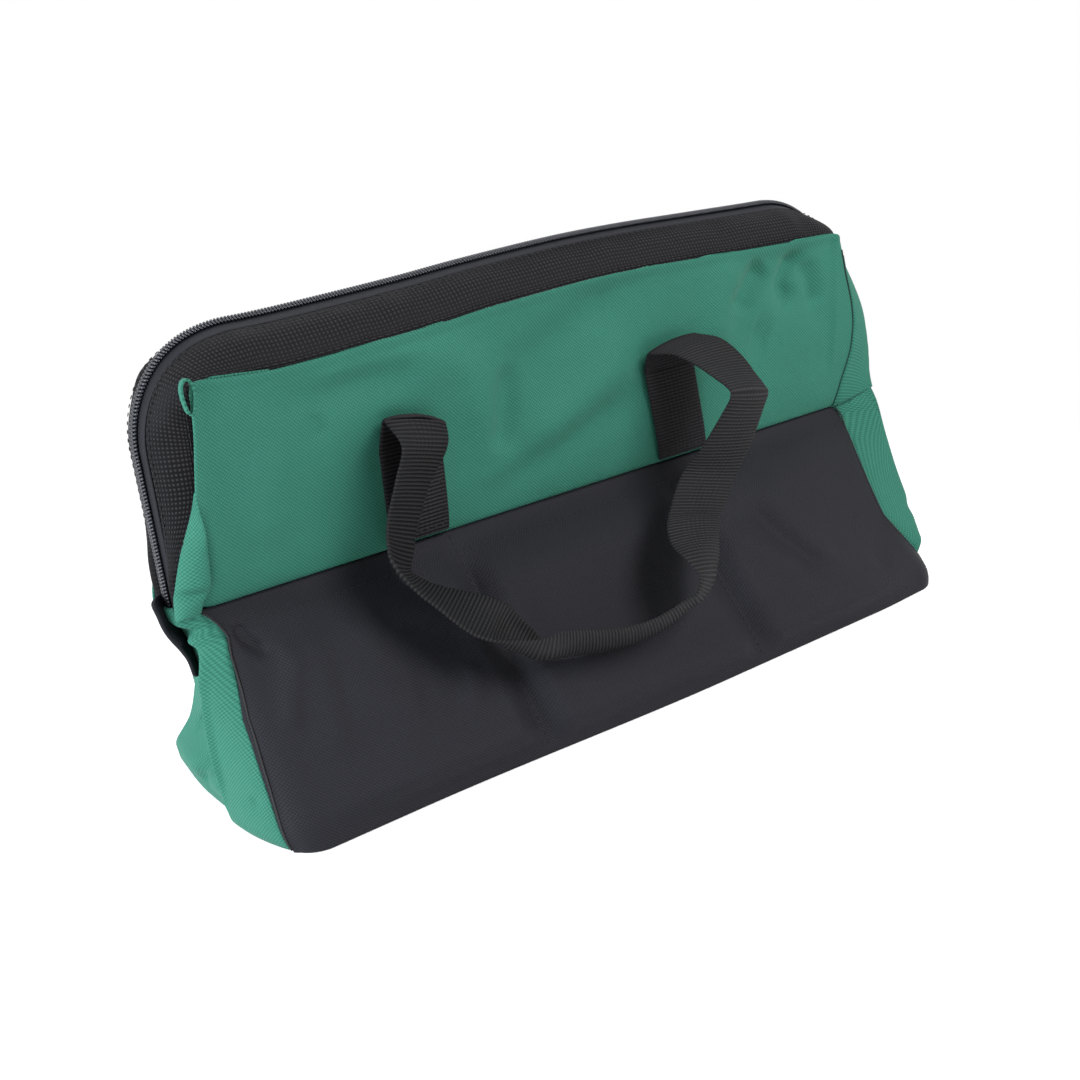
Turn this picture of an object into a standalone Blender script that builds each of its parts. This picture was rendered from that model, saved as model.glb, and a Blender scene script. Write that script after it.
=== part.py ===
"""Wide-mouth tool bag: a stiff-bottomed cloth bag whose mouth is held by two steel U frames that
swing apart when the zip is undone. Metres, +Z up, X along the length, front at -Y.
The origin is the middle of the underside of the base."""

import math

import bmesh
import bpy
from mathutils import Matrix, Vector

# Cloth, webbing and the gaps between sewn pieces
CLOTH = 0.0014
SEAM_GAP = 0.0004
WEBBING_WIDTH = 0.038
WEBBING_THICKNESS = 0.0018

# Base
BASE_LENGTH = 0.462
BASE_DEPTH = 0.1776
BASE_CORNER = 0.026
BASE_CLOTH = 0.0014
BOARD_END_INSET = 0.009
BOARD_SIDE_INSET = 0.0098
BOARD_CORNER = 0.018
BOARD_THICKNESS = 0.0025

# Lower body: its walls lean in from the base to the seam where the frames hinge
SEAM_HEIGHT = 0.110
SEAM_OVERHANG = 0.004
SEAM_HALF_DEPTH = 0.010
SEAM_HALF_LENGTH = BASE_LENGTH / 2 + SEAM_OVERHANG
WALL_FOOT = 0.0028
WALL_END_INSET = 0.002
WALL_SIDE_INSET = 0.0026
WALL_HALF_LENGTH = BASE_LENGTH / 2 - WALL_END_INSET
WALL_HALF_DEPTH = BASE_DEPTH / 2 - WALL_SIDE_INSET
WALL_CORNER = 0.024
WALL_CORNER_SHARE = 0.75
END_PULL_IN = 0.005
WALL_TOP_GAP = 0.0001

# Front pocket: an outer sheet stitched down at its ends and along two dividers
POCKET_EASE = 0.008
POCKET_LOW_SHARE = 0.6
POCKET_HEM_DROP = 0.0045
POCKET_RISE = 0.012
POCKET_LEFT_STITCH_REACH = 0.081
POCKET_RIGHT_STITCH_REACH = 0.072
POCKET_PUCKER = 0.002

# Mouth: the line along which the zip runs, up one end, over the top and down the other.
# Its heights are above the seam and its reaches from the ends of the seam
MOUTH_START = 0.004
MOUTH_RISE = 0.1372
MOUTH_OVERHANG = 0.0015
MOUTH_FOOT = SEAM_HEIGHT + MOUTH_START
MOUTH_CROWN = SEAM_HEIGHT + MOUTH_RISE
MOUTH_REACH = SEAM_HALF_LENGTH + MOUTH_OVERHANG
MOUTH_CORNER = 0.057
MOUTH_SPLIT = 0.0012
TAPE_SIDE_STEP = 0.0001
TAPE_TOP_STEP = 0.0027
TAPE_EDGE_REACH = MOUTH_REACH - TAPE_SIDE_STEP
TAPE_EDGE_CROWN = MOUTH_CROWN - TAPE_TOP_STEP
TAPE_EDGE_DEPTH = 0.0100
TAPE_EDGE_DEPTH_FOOT = 0.0078
SLEEVE_SIDE_STEP = 0.0195
SLEEVE_FOOT_STEP = 0.0010
SLEEVE_TOP_STEP = 0.0229
SLEEVE_EDGE_REACH = MOUTH_REACH - SLEEVE_SIDE_STEP
SLEEVE_EDGE_REACH_FOOT = MOUTH_REACH - SLEEVE_FOOT_STEP
SLEEVE_EDGE_CROWN = MOUTH_CROWN - SLEEVE_TOP_STEP
SLEEVE_EDGE_DEPTH = 0.0283
SLEEVE_EDGE_DEPTH_FOOT = 0.0154
SLEEVE_EDGE_SQUARENESS = 8
SLEEVE_TURN_START = 0.015
SLEEVE_TURN_LENGTH = 0.050
SLEEVE_TURN_LOW = SEAM_HEIGHT + SLEEVE_TURN_START
SLEEVE_TURN_HIGH = SLEEVE_TURN_LOW + SLEEVE_TURN_LENGTH
TAPE_THICKNESS = 0.0009
COIL_WIDTH = 0.0036
COIL_HEIGHT = 0.0027
ZIP_REST_GAP = 0.0003

# Steel frame rod and the webbing sleeve round it
ROD_DIAMETER = 0.0045
ROD_CLEARANCE = 0.00035
SLEEVE_WALL = 0.0007
SLEEVE_EDGE = 0.0014
SLEEVE_SHOULDER_SHARE = 0.45

# Upper body
PANEL_FOOT_INSET = 0.0245
PANEL_WIDEST_INSET = 0.016
PANEL_WIDEST_START = 0.012
PANEL_WIDEST_RUN = 0.008
PANEL_FOOT_HALF_LENGTH = MOUTH_REACH - PANEL_FOOT_INSET
PANEL_WIDEST_HALF_LENGTH = MOUTH_REACH - PANEL_WIDEST_INSET
PANEL_WIDEST_LOW = SEAM_HEIGHT + PANEL_WIDEST_START
PANEL_WIDEST_HIGH = PANEL_WIDEST_LOW + PANEL_WIDEST_RUN
PANEL_DEPTH_POWER = 0.45
PANEL_DISH = 0.005
PANEL_SQUARENESS = 5
GUSSET_RISE = 0.047
GUSSET_TOP = SEAM_HEIGHT + GUSSET_RISE

# Handles
HANDLE_LEFT_REACH = 0.0995
HANDLE_RIGHT_REACH = 0.0885
HANDLE_GAP = 0.0006
FOLD_RISE = 0.0668
FOLD_HEIGHT = SEAM_HEIGHT + FOLD_RISE
FOLD_DEPTH = 0.0291
FOLD_GAP = 0.0009
HANDLE_TURN = 0.012
GRIP_REACH = 0.0885

# The slack grip between its two folds. Each row: places as shares of half the span between the
# strap ends, of the reach forward and of the fold's height, then the way the webbing's width lies
GRIP_ROUTE_SHARES = (
    ((-1.037, 0.418, 0.981), (1, 0.15, -0.1)),
    ((-1.133, 0.508, 0.882), (0.95, 0.4, -0.05)),
    ((-1.229, 0.565, 0.769), (0.85, 0.55, 0)),
    ((-1.282, 0.621, 0.656), (0.7, 0.7, 0.1)),
    ((-1.239, 0.701, 0.549), (0.45, 0.85, 0.35)),
    ((-1.080, 0.802, 0.447), (0.2, 0.9, 0.5)),
    ((-0.835, 0.893, 0.362), (0.05, 0.9, 0.4)),
    ((-0.559, 0.960, 0.305), (0, 1, 0.1)),
    ((-0.250, 1.000, 0.294), (0, 0.9, -0.35)),
    ((0.069, 0.989, 0.305), (0, 0.8, -0.5)),
    ((0.356, 0.944, 0.339), (-0.15, 0.8, -0.45)),
    ((0.580, 0.842, 0.407), (-0.4, 0.75, -0.35)),
    ((0.707, 0.734, 0.486), (-0.75, 0.6, -0.15)),
    ((0.803, 0.655, 0.583), (-0.9, 0.4, -0.1)),
    ((0.952, 0.588, 0.690), (-0.95, 0.3, -0.1)),
    ((1.144, 0.520, 0.803), (-0.97, 0.25, -0.1)),
    ((1.271, 0.463, 0.894), (-0.97, 0.2, 0.05)),
    ((1.207, 0.407, 0.973), (-0.97, 0.15, 0.15)),
)

# Zip slider, on the right-hand arm of the zip, and its pull
SLIDER_START = 0.001
SLIDER_FOOT = MOUTH_FOOT + SLIDER_START
SLIDER_LENGTH = 0.016
SLIDER_HALF_WIDTH = 0.0068
SLIDER_FLOOR_HALF_WIDTH = 0.0060
SLIDER_PLATE = 0.0014
SLIDER_LIP = 0.0014
SLIDER_CLEARANCE = 0.00045
SLIDER_NECK = 0.0006
SLIDER_NECK_LENGTH = 0.0045
SLIDER_FLARE = 0.0008
SLIDER_MERGE = 0.0003
BRIDGE_LENGTH = 0.0105
BRIDGE_WIDTH = 0.0024
BRIDGE_HEIGHT = 0.0046
BRIDGE_BAR = 0.0012
PULL_PIN_DIAMETER = 0.0016
PULL_THICKNESS = 0.0014
PULL_WIDTH = 0.0085
PULL_TIP_WIDTH = 0.0062
PULL_LENGTH = 0.027
PULL_SLOT_LENGTH = 0.0075
PULL_SLOT_WIDTH = 0.0036
PULL_CORNER = 0.0012
ZIP_TAIL_LENGTH = 0.021

# Cloth tab sewn over each lower end of the zip
TAB_WIDTH = 0.024
TAB_THICKNESS = 0.0026
TAB_LENGTH = 0.050
TAB_STEPS = 6

# How finely the forms are faceted
WALL_ROWS = 6
PANEL_ROWS = 9
LEG_STEPS = 5
CORNER_STEPS = 6
TOP_STEPS = 4
ROD_RESOLUTION = 2
HANDLE_STEPS = 3


def lerp(low, high, share):
    return low + (high - low) * share


def ease(share):
    share = min(max(share, 0.0), 1.0)
    return share * share * (3 - 2 * share)


def clear_scene():
    for found in list(bpy.data.objects):
        bpy.data.objects.remove(found, do_unlink=True)


def finish(name, colour, roughness, metallic=0.0):
    """A plain material with the piece's own colour and gloss."""
    made = bpy.data.materials.new(name)
    made.use_nodes = True
    shader = made.node_tree.nodes["Principled BSDF"]
    shader.inputs["Base Color"].default_value = (*colour, 1.0)
    shader.inputs["Roughness"].default_value = roughness
    shader.inputs["Metallic"].default_value = metallic
    return made


def axis_empty(name, place, parent, collection):
    """An empty on a joint's axis, which carries the pieces that turn with it."""
    holder = bpy.data.objects.new(name, None)
    holder.location = place
    collection.objects.link(holder)
    if parent:
        holder.parent = parent
        holder.matrix_parent_inverse = Matrix.Translation(-world_place(parent))
    return holder


def world_place(holder):
    place = holder.location.copy()
    while holder.parent:
        holder = holder.parent
    return place


def add_piece(name, mesh, material, parent, collection, smooth=True):
    piece = bpy.data.objects.new(name, mesh)
    mesh.materials.append(material)
    collection.objects.link(piece)
    piece.parent = parent
    piece.matrix_parent_inverse = Matrix.Translation(-world_place(parent))
    if smooth:
        mesh.shade_smooth()
        mesh.set_sharp_from_angle(angle=math.radians(35.0))
    return piece


def mesh_from(build):
    """The mesh that build(bm) fills, with its faces turned outwards."""
    bm = bmesh.new()
    build(bm)
    bmesh.ops.recalc_face_normals(bm, faces=bm.faces)
    mesh = bpy.data.meshes.new("shape")
    bm.to_mesh(mesh)
    bm.free()
    return mesh


def cloth_sheet(surface, columns, rows, outward):
    """An open grid laid on surface(u, v), with u and v from -1 to 1, facing outward."""
    bm = bmesh.new()
    bmesh.ops.create_grid(bm, x_segments=columns, y_segments=rows, size=1.0)
    for vertex in bm.verts:
        vertex.co = surface(vertex.co.x, vertex.co.y)
    bm.normal_update()
    total = sum((face.normal * face.calc_area() for face in bm.faces), Vector())
    if total.dot(outward) < 0:
        bmesh.ops.reverse_faces(bm, faces=bm.faces)
    mesh = bpy.data.meshes.new("cloth")
    bm.to_mesh(mesh)
    bm.free()
    return mesh


def thicken(piece, thickness):
    """Gives an open sheet its thickness, inwards from the face that shows."""
    solid = piece.modifiers.new("Thickness", "SOLIDIFY")
    solid.thickness = thickness
    solid.offset = -1.0
    solid.use_even_offset = True


def loft(bm, rings, holes=None):
    """Joins closed rings of points into a closed skin. With holes, a bore runs through it."""
    outer = [[bm.verts.new(point) for point in ring] for ring in rings]
    skins = [outer]
    if holes:
        skins.append([[bm.verts.new(point) for point in ring] for ring in holes])
    for skin in skins:
        for near, far in zip(skin, skin[1:]):
            for i in range(len(near)):
                j = (i + 1) % len(near)
                bm.faces.new((near[i], near[j], far[j], far[i]))
    for end in (0, -1):
        if not holes:
            bm.faces.new(outer[end])
            continue
        rim, bore = skins[0][end], skins[1][end]
        for i in range(len(rim)):
            j = (i + 1) % len(rim)
            bm.faces.new((rim[i], rim[j], bore[j], bore[i]))


def rounded_outline(half_length, half_depth, corner, steps=5):
    """Points round a rectangle with arcs for its corners, anticlockwise from above."""
    points = []
    for quarter, (sign_x, sign_y) in enumerate(((1, 1), (-1, 1), (-1, -1), (1, -1))):
        middle = Vector((sign_x * (half_length - corner), sign_y * (half_depth - corner)))
        for step in range(steps + 1):
            angle = math.pi / 2 * (quarter + step / steps)
            points.append(middle + corner * Vector((math.cos(angle), math.sin(angle))))
    return points


def flat_plate(outline, low, high):
    """A plate of that outline between two heights."""

    def build(bm):
        face = bm.faces.new([bm.verts.new((point.x, point.y, low)) for point in outline])
        made = bmesh.ops.extrude_face_region(bm, geom=[face])["geom"]
        raised = [item for item in made if isinstance(item, bmesh.types.BMVert)]
        bmesh.ops.translate(bm, verts=raised, vec=(0, 0, high - low))

    return mesh_from(build)


# Lower body


def wall_level(height):
    """Half length, half depth and the two corner radii of the lower body at that height."""
    share = height / SEAM_HEIGHT
    half_length = lerp(WALL_HALF_LENGTH, SEAM_HALF_LENGTH, share)
    half_length -= END_PULL_IN * math.sin(math.pi * share)
    half_depth = lerp(WALL_HALF_DEPTH, SEAM_HALF_DEPTH, share)
    return half_length, half_depth, WALL_CORNER, min(WALL_CORNER, half_depth * WALL_CORNER_SHARE)


def long_wall_point(u, height, side, out=0.0):
    """A point of the front (side -1) or rear wall, u from the left corner seam to the right."""
    half_length, half_depth, radius_x, radius_y = wall_level(height)
    half_length += out
    half_depth += out
    radius_x += out
    radius_y += out
    straight_share = 5 / 7
    trim = SEAM_GAP / radius_y
    if abs(u) <= straight_share:
        x = u / straight_share * (half_length - radius_x)
        y = half_depth
    else:
        turn = (abs(u) - straight_share) / (1 - straight_share) * (math.pi / 4 - trim)
        x = math.copysign(half_length - radius_x + radius_x * math.sin(turn), u)
        y = half_depth - radius_y + radius_y * math.cos(turn)
    return Vector((x, side * y, height))


def gusset_point(v, height, side):
    """A point of an end wall, v from its front corner seam to its rear one."""
    half_length, half_depth, radius_x, radius_y = wall_level(height)
    straight_share = 0.5
    trim = SEAM_GAP / radius_y
    if abs(v) <= straight_share:
        x = half_length
        y = v / straight_share * (half_depth - radius_y)
    else:
        turn = (abs(v) - straight_share) / (1 - straight_share) * (math.pi / 4 - trim)
        x = half_length - radius_x + radius_x * math.cos(turn)
        y = math.copysign(half_depth - radius_y + radius_y * math.sin(turn), v)
    return Vector((side * x, y, height))


def wall_slope():
    """How far a long wall leans over for each metre that it rises."""
    return (WALL_HALF_DEPTH - SEAM_HALF_DEPTH) / SEAM_HEIGHT


def pocket_out():
    """How far the pocket's outer face stands off the wall where it is stitched down."""
    lean = math.hypot(1.0, wall_slope())
    return (CLOTH + SEAM_GAP) * lean


def pocket_point(u, height):
    """A point of the pocket's outer face: slack between its stitched lines, tight on them."""
    point = long_wall_point(u, height, -1, pocket_out())
    end = wall_level(height)[0] - WALL_CORNER
    seams = (-end, -POCKET_LEFT_STITCH_REACH, POCKET_RIGHT_STITCH_REACH, end)
    reach = min(abs(point.x - seam) for seam in seams)
    if abs(point.x) > end:
        reach = 0.0
    slack = ease((reach - POCKET_PUCKER) / POCKET_RISE)
    rise = ease((height - WALL_FOOT) / POCKET_RISE / 2)
    rise *= lerp(POCKET_LOW_SHARE, 1.0, ease(2 * height / SEAM_HEIGHT - 1))
    point.y -= POCKET_EASE * math.hypot(1.0, wall_slope()) * slack * rise
    return point


def pocket_column(u):
    """Columns of the pocket sheet gathered at its stitched lines, where its form changes."""
    end_share = 5 / 7
    if abs(u) > end_share:
        return u
    end = WALL_HALF_LENGTH - WALL_CORNER
    seams = (-end, -POCKET_LEFT_STITCH_REACH, POCKET_RIGHT_STITCH_REACH, end)
    bays = list(zip(seams, seams[1:]))
    place = (u / end_share + 1) / 2 * len(bays)
    bay = min(int(place), len(bays) - 1)
    left, right = bays[bay]
    across = place - bay
    bunched = across - math.sin(2 * math.pi * across) / 8
    return lerp(left, right, bunched) / end * end_share


def lower_height(v, foot, top):
    return lerp(foot, top, (v + 1) / 2)


def build_lower_body(bag, collection, cloths):
    base = flat_plate(rounded_outline(BASE_LENGTH / 2, BASE_DEPTH / 2, BASE_CORNER), 0.0, BASE_CLOTH)
    add_piece("base_panel", base, cloths["grey"], bag, collection, smooth=False)
    board_low = BASE_CLOTH + SEAM_GAP
    board_outline = rounded_outline(
        BASE_LENGTH / 2 - BOARD_END_INSET, BASE_DEPTH / 2 - BOARD_SIDE_INSET, BOARD_CORNER
    )
    board = flat_plate(board_outline, board_low, board_low + BOARD_THICKNESS)
    add_piece("base_board", board, cloths["board"], bag, collection, smooth=False)

    top = SEAM_HEIGHT - WALL_TOP_GAP
    for name, side in (("front_lower_panel", -1), ("rear_lower_panel", 1)):
        sheet = cloth_sheet(
            lambda u, v, side=side: long_wall_point(u, lower_height(v, WALL_FOOT, top), side),
            14,
            WALL_ROWS,
            Vector((0, side, 0)),
        )
        thicken(add_piece(name, sheet, cloths["grey"], bag, collection), CLOTH)
    for name, side in (("left_lower_gusset", -1), ("right_lower_gusset", 1)):
        sheet = cloth_sheet(
            lambda u, v, side=side: gusset_point(u, lower_height(v, WALL_FOOT, top), side),
            8,
            WALL_ROWS,
            Vector((side, 0, 0)),
        )
        thicken(add_piece(name, sheet, cloths["green"], bag, collection), CLOTH)

    hem = SEAM_HEIGHT - POCKET_HEM_DROP
    sheet = cloth_sheet(
        lambda u, v: pocket_point(pocket_column(u), lower_height(v, WALL_FOOT, hem)),
        28,
        WALL_ROWS + 2,
        Vector((0, -1, 0)),
    )
    thicken(add_piece("front_pocket", sheet, cloths["grey"], bag, collection), CLOTH)


# Mouth


class Station:
    """A place on the zip line with the matching places on the tape's and the sleeve's edges."""

    def __init__(self, place, tape_edge, sleeve_edge, along):
        self.place = place
        self.tape_edge = tape_edge
        self.sleeve_edge = sleeve_edge
        self.along = along

    def mirrored(self):
        """The same station on the right-hand half of the mouth."""
        flip = Matrix.Diagonal((-1, 1, 1))
        along = Vector((self.along.x, 0, -self.along.z))
        return Station(flip @ self.place, flip @ self.tape_edge, flip @ self.sleeve_edge, along)

    def frame(self, start, end):
        """The directions across a strip that runs from start to end, and out from its face."""
        across = (end - start).normalized()
        out = across.cross(self.along).normalized()
        if out.dot(Vector((self.place.x, 0, self.place.z - MOUTH_FOOT))) < 0:
            out.negate()
        return across, out

    def on_tape(self, across, out):
        """A point that far from the zip line across the tape, and out from it."""
        directions = self.frame(self.place, self.tape_edge)
        return self.place + directions[0] * across + directions[1] * out

    def on_sleeve(self, across, out):
        """A point that far across the sleeve from its middle, and out from it."""
        directions = self.frame(self.tape_edge, self.sleeve_edge)
        middle = (self.tape_edge + self.sleeve_edge) / 2
        return middle + directions[0] * across + directions[1] * out

    def sleeve_half(self):
        return ((self.sleeve_edge - self.tape_edge).length - SEAM_GAP) / 2

    def tape_width(self):
        return (self.tape_edge - self.place).length - SEAM_GAP


def placed(point, side):
    """The point on the front (-1) or the rear half of the mouth."""
    return Vector((point.x, -side * point.y, point.z))


def leg_station(height):
    """A station on the upright left arm of the mouth."""
    turn = ease((height - SLEEVE_TURN_LOW) / (SLEEVE_TURN_HIGH - SLEEVE_TURN_LOW))
    share = ease((height - MOUTH_FOOT) / (SLEEVE_TURN_HIGH - MOUTH_FOOT))
    reach = lerp(SLEEVE_EDGE_REACH_FOOT, SLEEVE_EDGE_REACH, turn)
    depth = lerp(SLEEVE_EDGE_DEPTH_FOOT, edge_depth(height), share)
    tape_depth = lerp(TAPE_EDGE_DEPTH_FOOT, TAPE_EDGE_DEPTH, share)
    return Station(
        Vector((-MOUTH_REACH, -MOUTH_SPLIT / 2, height)),
        Vector((-TAPE_EDGE_REACH, -tape_depth, height)),
        Vector((-reach, -depth, height)),
        Vector((0, 0, 1)),
    )


def corner_station(turn):
    """A station on the left corner of the mouth, turn from 0 on the arm to a quarter at the top."""
    middle = Vector((MOUTH_CORNER - MOUTH_REACH, 0, MOUTH_CROWN - MOUTH_CORNER))
    outward = Vector((-math.cos(turn), 0, math.sin(turn)))
    place = middle + outward * MOUTH_CORNER
    place.y = -MOUTH_SPLIT / 2
    side_reach = TAPE_EDGE_REACH + middle.x
    top_reach = TAPE_EDGE_CROWN - middle.z
    tape_edge = middle + outward * lerp(side_reach, top_reach, math.sin(turn) ** 2)
    tape_edge.y = -TAPE_EDGE_DEPTH
    side_share = abs(outward.x) / (SLEEVE_EDGE_REACH + middle.x)
    top_share = outward.z / (SLEEVE_EDGE_CROWN - middle.z)
    power = SLEEVE_EDGE_SQUARENESS
    sleeve_edge = middle + outward * (side_share**power + top_share**power) ** (-1 / power)
    sleeve_edge.y = -edge_depth(sleeve_edge.z)
    return Station(place, tape_edge, sleeve_edge, Vector((math.sin(turn), 0, math.cos(turn))))


def top_station(x):
    """A station on the straight top of the mouth."""
    return Station(
        Vector((x, -MOUTH_SPLIT / 2, MOUTH_CROWN)),
        Vector((x, -TAPE_EDGE_DEPTH, TAPE_EDGE_CROWN)),
        Vector((x, -edge_depth(SLEEVE_EDGE_CROWN), SLEEVE_EDGE_CROWN)),
        Vector((1, 0, 0)),
    )


def mouth_stations():
    """The stations of the front half, from the left foot over the top to the right foot."""
    leg_top = MOUTH_CROWN - MOUTH_CORNER
    half = [leg_station(lerp(MOUTH_FOOT, leg_top, step / LEG_STEPS)) for step in range(LEG_STEPS)]
    half += [corner_station(math.pi / 2 * step / CORNER_STEPS) for step in range(CORNER_STEPS + 1)]
    end = MOUTH_CORNER - MOUTH_REACH
    half += [top_station(lerp(end, 0.0, step / TOP_STEPS)) for step in range(1, TOP_STEPS + 1)]
    return half + [station.mirrored() for station in half[-2::-1]]


def bore_radius():
    """Corner radius of the eight-sided bore that the rod's round section clears."""
    return (ROD_DIAMETER / 2 + ROD_CLEARANCE) / math.cos(math.pi / 8)


def sleeve_rings(station, side):
    half = station.sleeve_half()
    shoulder = half * SLEEVE_SHOULDER_SHARE
    high = bore_radius() + SLEEVE_WALL
    edge = SLEEVE_EDGE / 2
    shape = (
        (half, edge),
        (shoulder, high),
        (-shoulder, high),
        (-half, edge),
        (-half, -edge),
        (-shoulder, -high),
        (shoulder, -high),
        (half, -edge),
    )
    rim = [placed(station.on_sleeve(across, out), side) for across, out in shape]
    bore = []
    for corner in range(8):
        angle = math.pi / 8 + corner * math.pi / 4
        across, out = bore_radius() * math.cos(angle), bore_radius() * math.sin(angle)
        bore.append(placed(station.on_sleeve(across, out), side))
    return rim, bore


def build_sleeve(side, stations):
    rings = [sleeve_rings(station, side) for station in stations]
    return mesh_from(lambda bm: loft(bm, [ring[0] for ring in rings], [ring[1] for ring in rings]))


def build_rod(name, side, stations, material, parent, collection):
    curve = bpy.data.curves.new(name, "CURVE")
    curve.dimensions = "3D"
    curve.bevel_depth = ROD_DIAMETER / 2
    curve.bevel_resolution = ROD_RESOLUTION
    curve.use_fill_caps = True
    line = curve.splines.new("POLY")
    line.points.add(len(stations) - 1)
    for point, station in zip(line.points, stations):
        point.co = (*placed(station.on_sleeve(0.0, 0.0), side), 1.0)
    curve.materials.append(material)
    rod = bpy.data.objects.new(name, curve)
    collection.objects.link(rod)
    rod.parent = parent
    rod.matrix_parent_inverse = Matrix.Translation(-world_place(parent))


def build_tape(side, stations):
    half = TAPE_THICKNESS / 2

    def ring(station):
        width = station.tape_width()
        shape = ((0.0, half), (width, half), (width, -half), (0.0, -half))
        return [placed(station.on_tape(across, out), side) for across, out in shape]

    return mesh_from(lambda bm: loft(bm, [ring(station) for station in stations]))


def build_coil(side, stations):
    low = TAPE_THICKNESS / 2 + ZIP_REST_GAP
    high = low + COIL_HEIGHT
    shoulder = COIL_WIDTH / 4
    shape = (
        (0.0, low),
        (COIL_WIDTH, low),
        (COIL_WIDTH, (low + high) / 2),
        (COIL_WIDTH - shoulder, high),
        (shoulder, high),
        (0.0, (low + high) / 2),
    )
    rings = [[placed(station.on_tape(across, out), side) for across, out in shape] for station in stations]
    return mesh_from(lambda bm: loft(bm, rings))


def without_tail(stations):
    """The stations with the right-hand foot cut short, where the rear half leaves the slider."""
    lowest = SLIDER_FOOT + ZIP_TAIL_LENGTH
    kept = [station for station in stations if station.place.x < 0 or station.place.z > lowest]
    return kept + [leg_station(lowest).mirrored()]


# Upper body


def edge_depth(height):
    """How far forward of the middle the upper panel's side edges stand at that height."""
    foot = SEAM_HEIGHT + SEAM_GAP
    share = max((height - foot) / (SLEEVE_EDGE_CROWN - foot), 0.0)
    return lerp(SEAM_HALF_DEPTH, SLEEVE_EDGE_DEPTH, share**PANEL_DEPTH_POWER)


def panel_depth(x, height):
    """How far forward the upper panel's outer face stands, dished in between its edges."""
    share = min(max((height - SEAM_HEIGHT) / (SLEEVE_EDGE_CROWN - SEAM_HEIGHT), 0.0), 1.0)
    across = 1 - min((x / panel_half_length(height)) ** 2, 1.0)
    return edge_depth(height) - PANEL_DISH * across * math.sin(math.pi * share)


def panel_half_length(height):
    """Half the upper panel's length, which follows the sleeve's edge round the top corners."""
    gap = SEAM_GAP + SLEEVE_EDGE / 2
    if height < PANEL_WIDEST_LOW:
        rise = ease((height - SEAM_HEIGHT) / (PANEL_WIDEST_LOW - SEAM_HEIGHT))
        return lerp(PANEL_FOOT_HALF_LENGTH, PANEL_WIDEST_HALF_LENGTH, rise)
    middle_x = MOUTH_REACH - MOUTH_CORNER
    middle_z = MOUTH_CROWN - MOUTH_CORNER
    reach = SLEEVE_EDGE_REACH - gap - middle_x
    rise = (height - middle_z) / (SLEEVE_EDGE_CROWN - gap - middle_z)
    if rise > 0:
        power = PANEL_SQUARENESS
        reach *= (1 - min(rise, 1.0) ** power) ** (1 / power)
    narrowing = ease((height - PANEL_WIDEST_HIGH) / (SLEEVE_TURN_HIGH - PANEL_WIDEST_HIGH))
    return lerp(PANEL_WIDEST_HALF_LENGTH, middle_x + reach, narrowing)


def panel_height(share):
    """Rows of the upper panel, closer together at its foot and its top."""
    foot = SEAM_HEIGHT + SEAM_GAP
    top = SLEEVE_EDGE_CROWN - SEAM_GAP - SLEEVE_EDGE / 2
    return lerp(foot, top, (1 - math.cos(math.pi * share)) / 2)


def panel_point(u, v, side):
    height = panel_height((v + 1) / 2)
    x = u * panel_half_length(height)
    return Vector((x, side * panel_depth(x, height), height))


def upper_gusset_point(u, v, side, end):
    """A point of the strip between the panel's edge and the sleeve, u from panel to sleeve."""
    height = lerp(MOUTH_FOOT + SEAM_GAP, GUSSET_TOP, (v + 1) / 2)
    inner = Vector((panel_half_length(height) + SEAM_GAP * 2, -edge_depth(height), height))
    station = leg_station(height).mirrored()
    outer = station.on_sleeve(station.sleeve_half() + SEAM_GAP * 2 + CLOTH, 0.0)
    point = inner.lerp(outer, (u + 1) / 2)
    return Vector((end * point.x, -side * point.y, height))


def build_half(word, side, holder, collection, cloths, stations, mesh_stations):
    """The half of the upper body that swings with one frame."""
    build_rod(f"{word}_frame_rod", side, stations, cloths["steel"], holder, collection)
    sleeve = build_sleeve(side, stations)
    add_piece(f"{word}_frame_sleeve", sleeve, cloths["webbing"], holder, collection)
    add_piece(f"{word}_zip_tape", build_tape(side, mesh_stations), cloths["webbing"], holder, collection)
    add_piece(f"{word}_zip_coil", build_coil(side, mesh_stations), cloths["coil"], holder, collection)
    sheet = cloth_sheet(lambda u, v: panel_point(u, v, side), 12, PANEL_ROWS, Vector((0, side, 0)))
    thicken(add_piece(f"{word}_upper_panel", sheet, cloths["green"], holder, collection), CLOTH)
    for end_word, end in (("left", -1), ("right", 1)):
        sheet = cloth_sheet(
            lambda u, v, end=end: upper_gusset_point(u, v, side, end), 2, WALL_ROWS, Vector((end, side, 0))
        )
        piece = add_piece(f"{word}_{end_word}_gusset", sheet, cloths["green"], holder, collection)
        thicken(piece, CLOTH)


# Handles


def smooth_run(points, steps):
    """Points along a smooth curve through the given ones."""
    run = []
    for index in range(len(points) - 1):
        before = points[max(index - 1, 0)]
        near, far = points[index], points[index + 1]
        after = points[min(index + 2, len(points) - 1)]
        for step in range(steps):
            t = step / steps
            run.append(
                0.5 * (2 * near + (far - before) * t)
                + 0.5 * (2 * before - 5 * near + 4 * far - after) * t**2
                + 0.5 * (3 * near - before - 3 * far + after) * t**3
            )
    return run + [points[-1]]


def webbing(centres, widths):
    """A flat strap along the centres, each with the direction of its width."""

    def build(bm):
        rings = []
        for index, (centre, width) in enumerate(zip(centres, widths)):
            along = centres[min(index + 1, len(centres) - 1)] - centres[max(index - 1, 0)]
            face = along.cross(width).normalized() * WEBBING_THICKNESS / 2
            reach = width.normalized() * WEBBING_WIDTH / 2
            rings.append([centre + reach + face, centre - reach + face, centre - reach - face, centre + reach - face])
        loft(bm, rings)

    return mesh_from(build)


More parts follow.
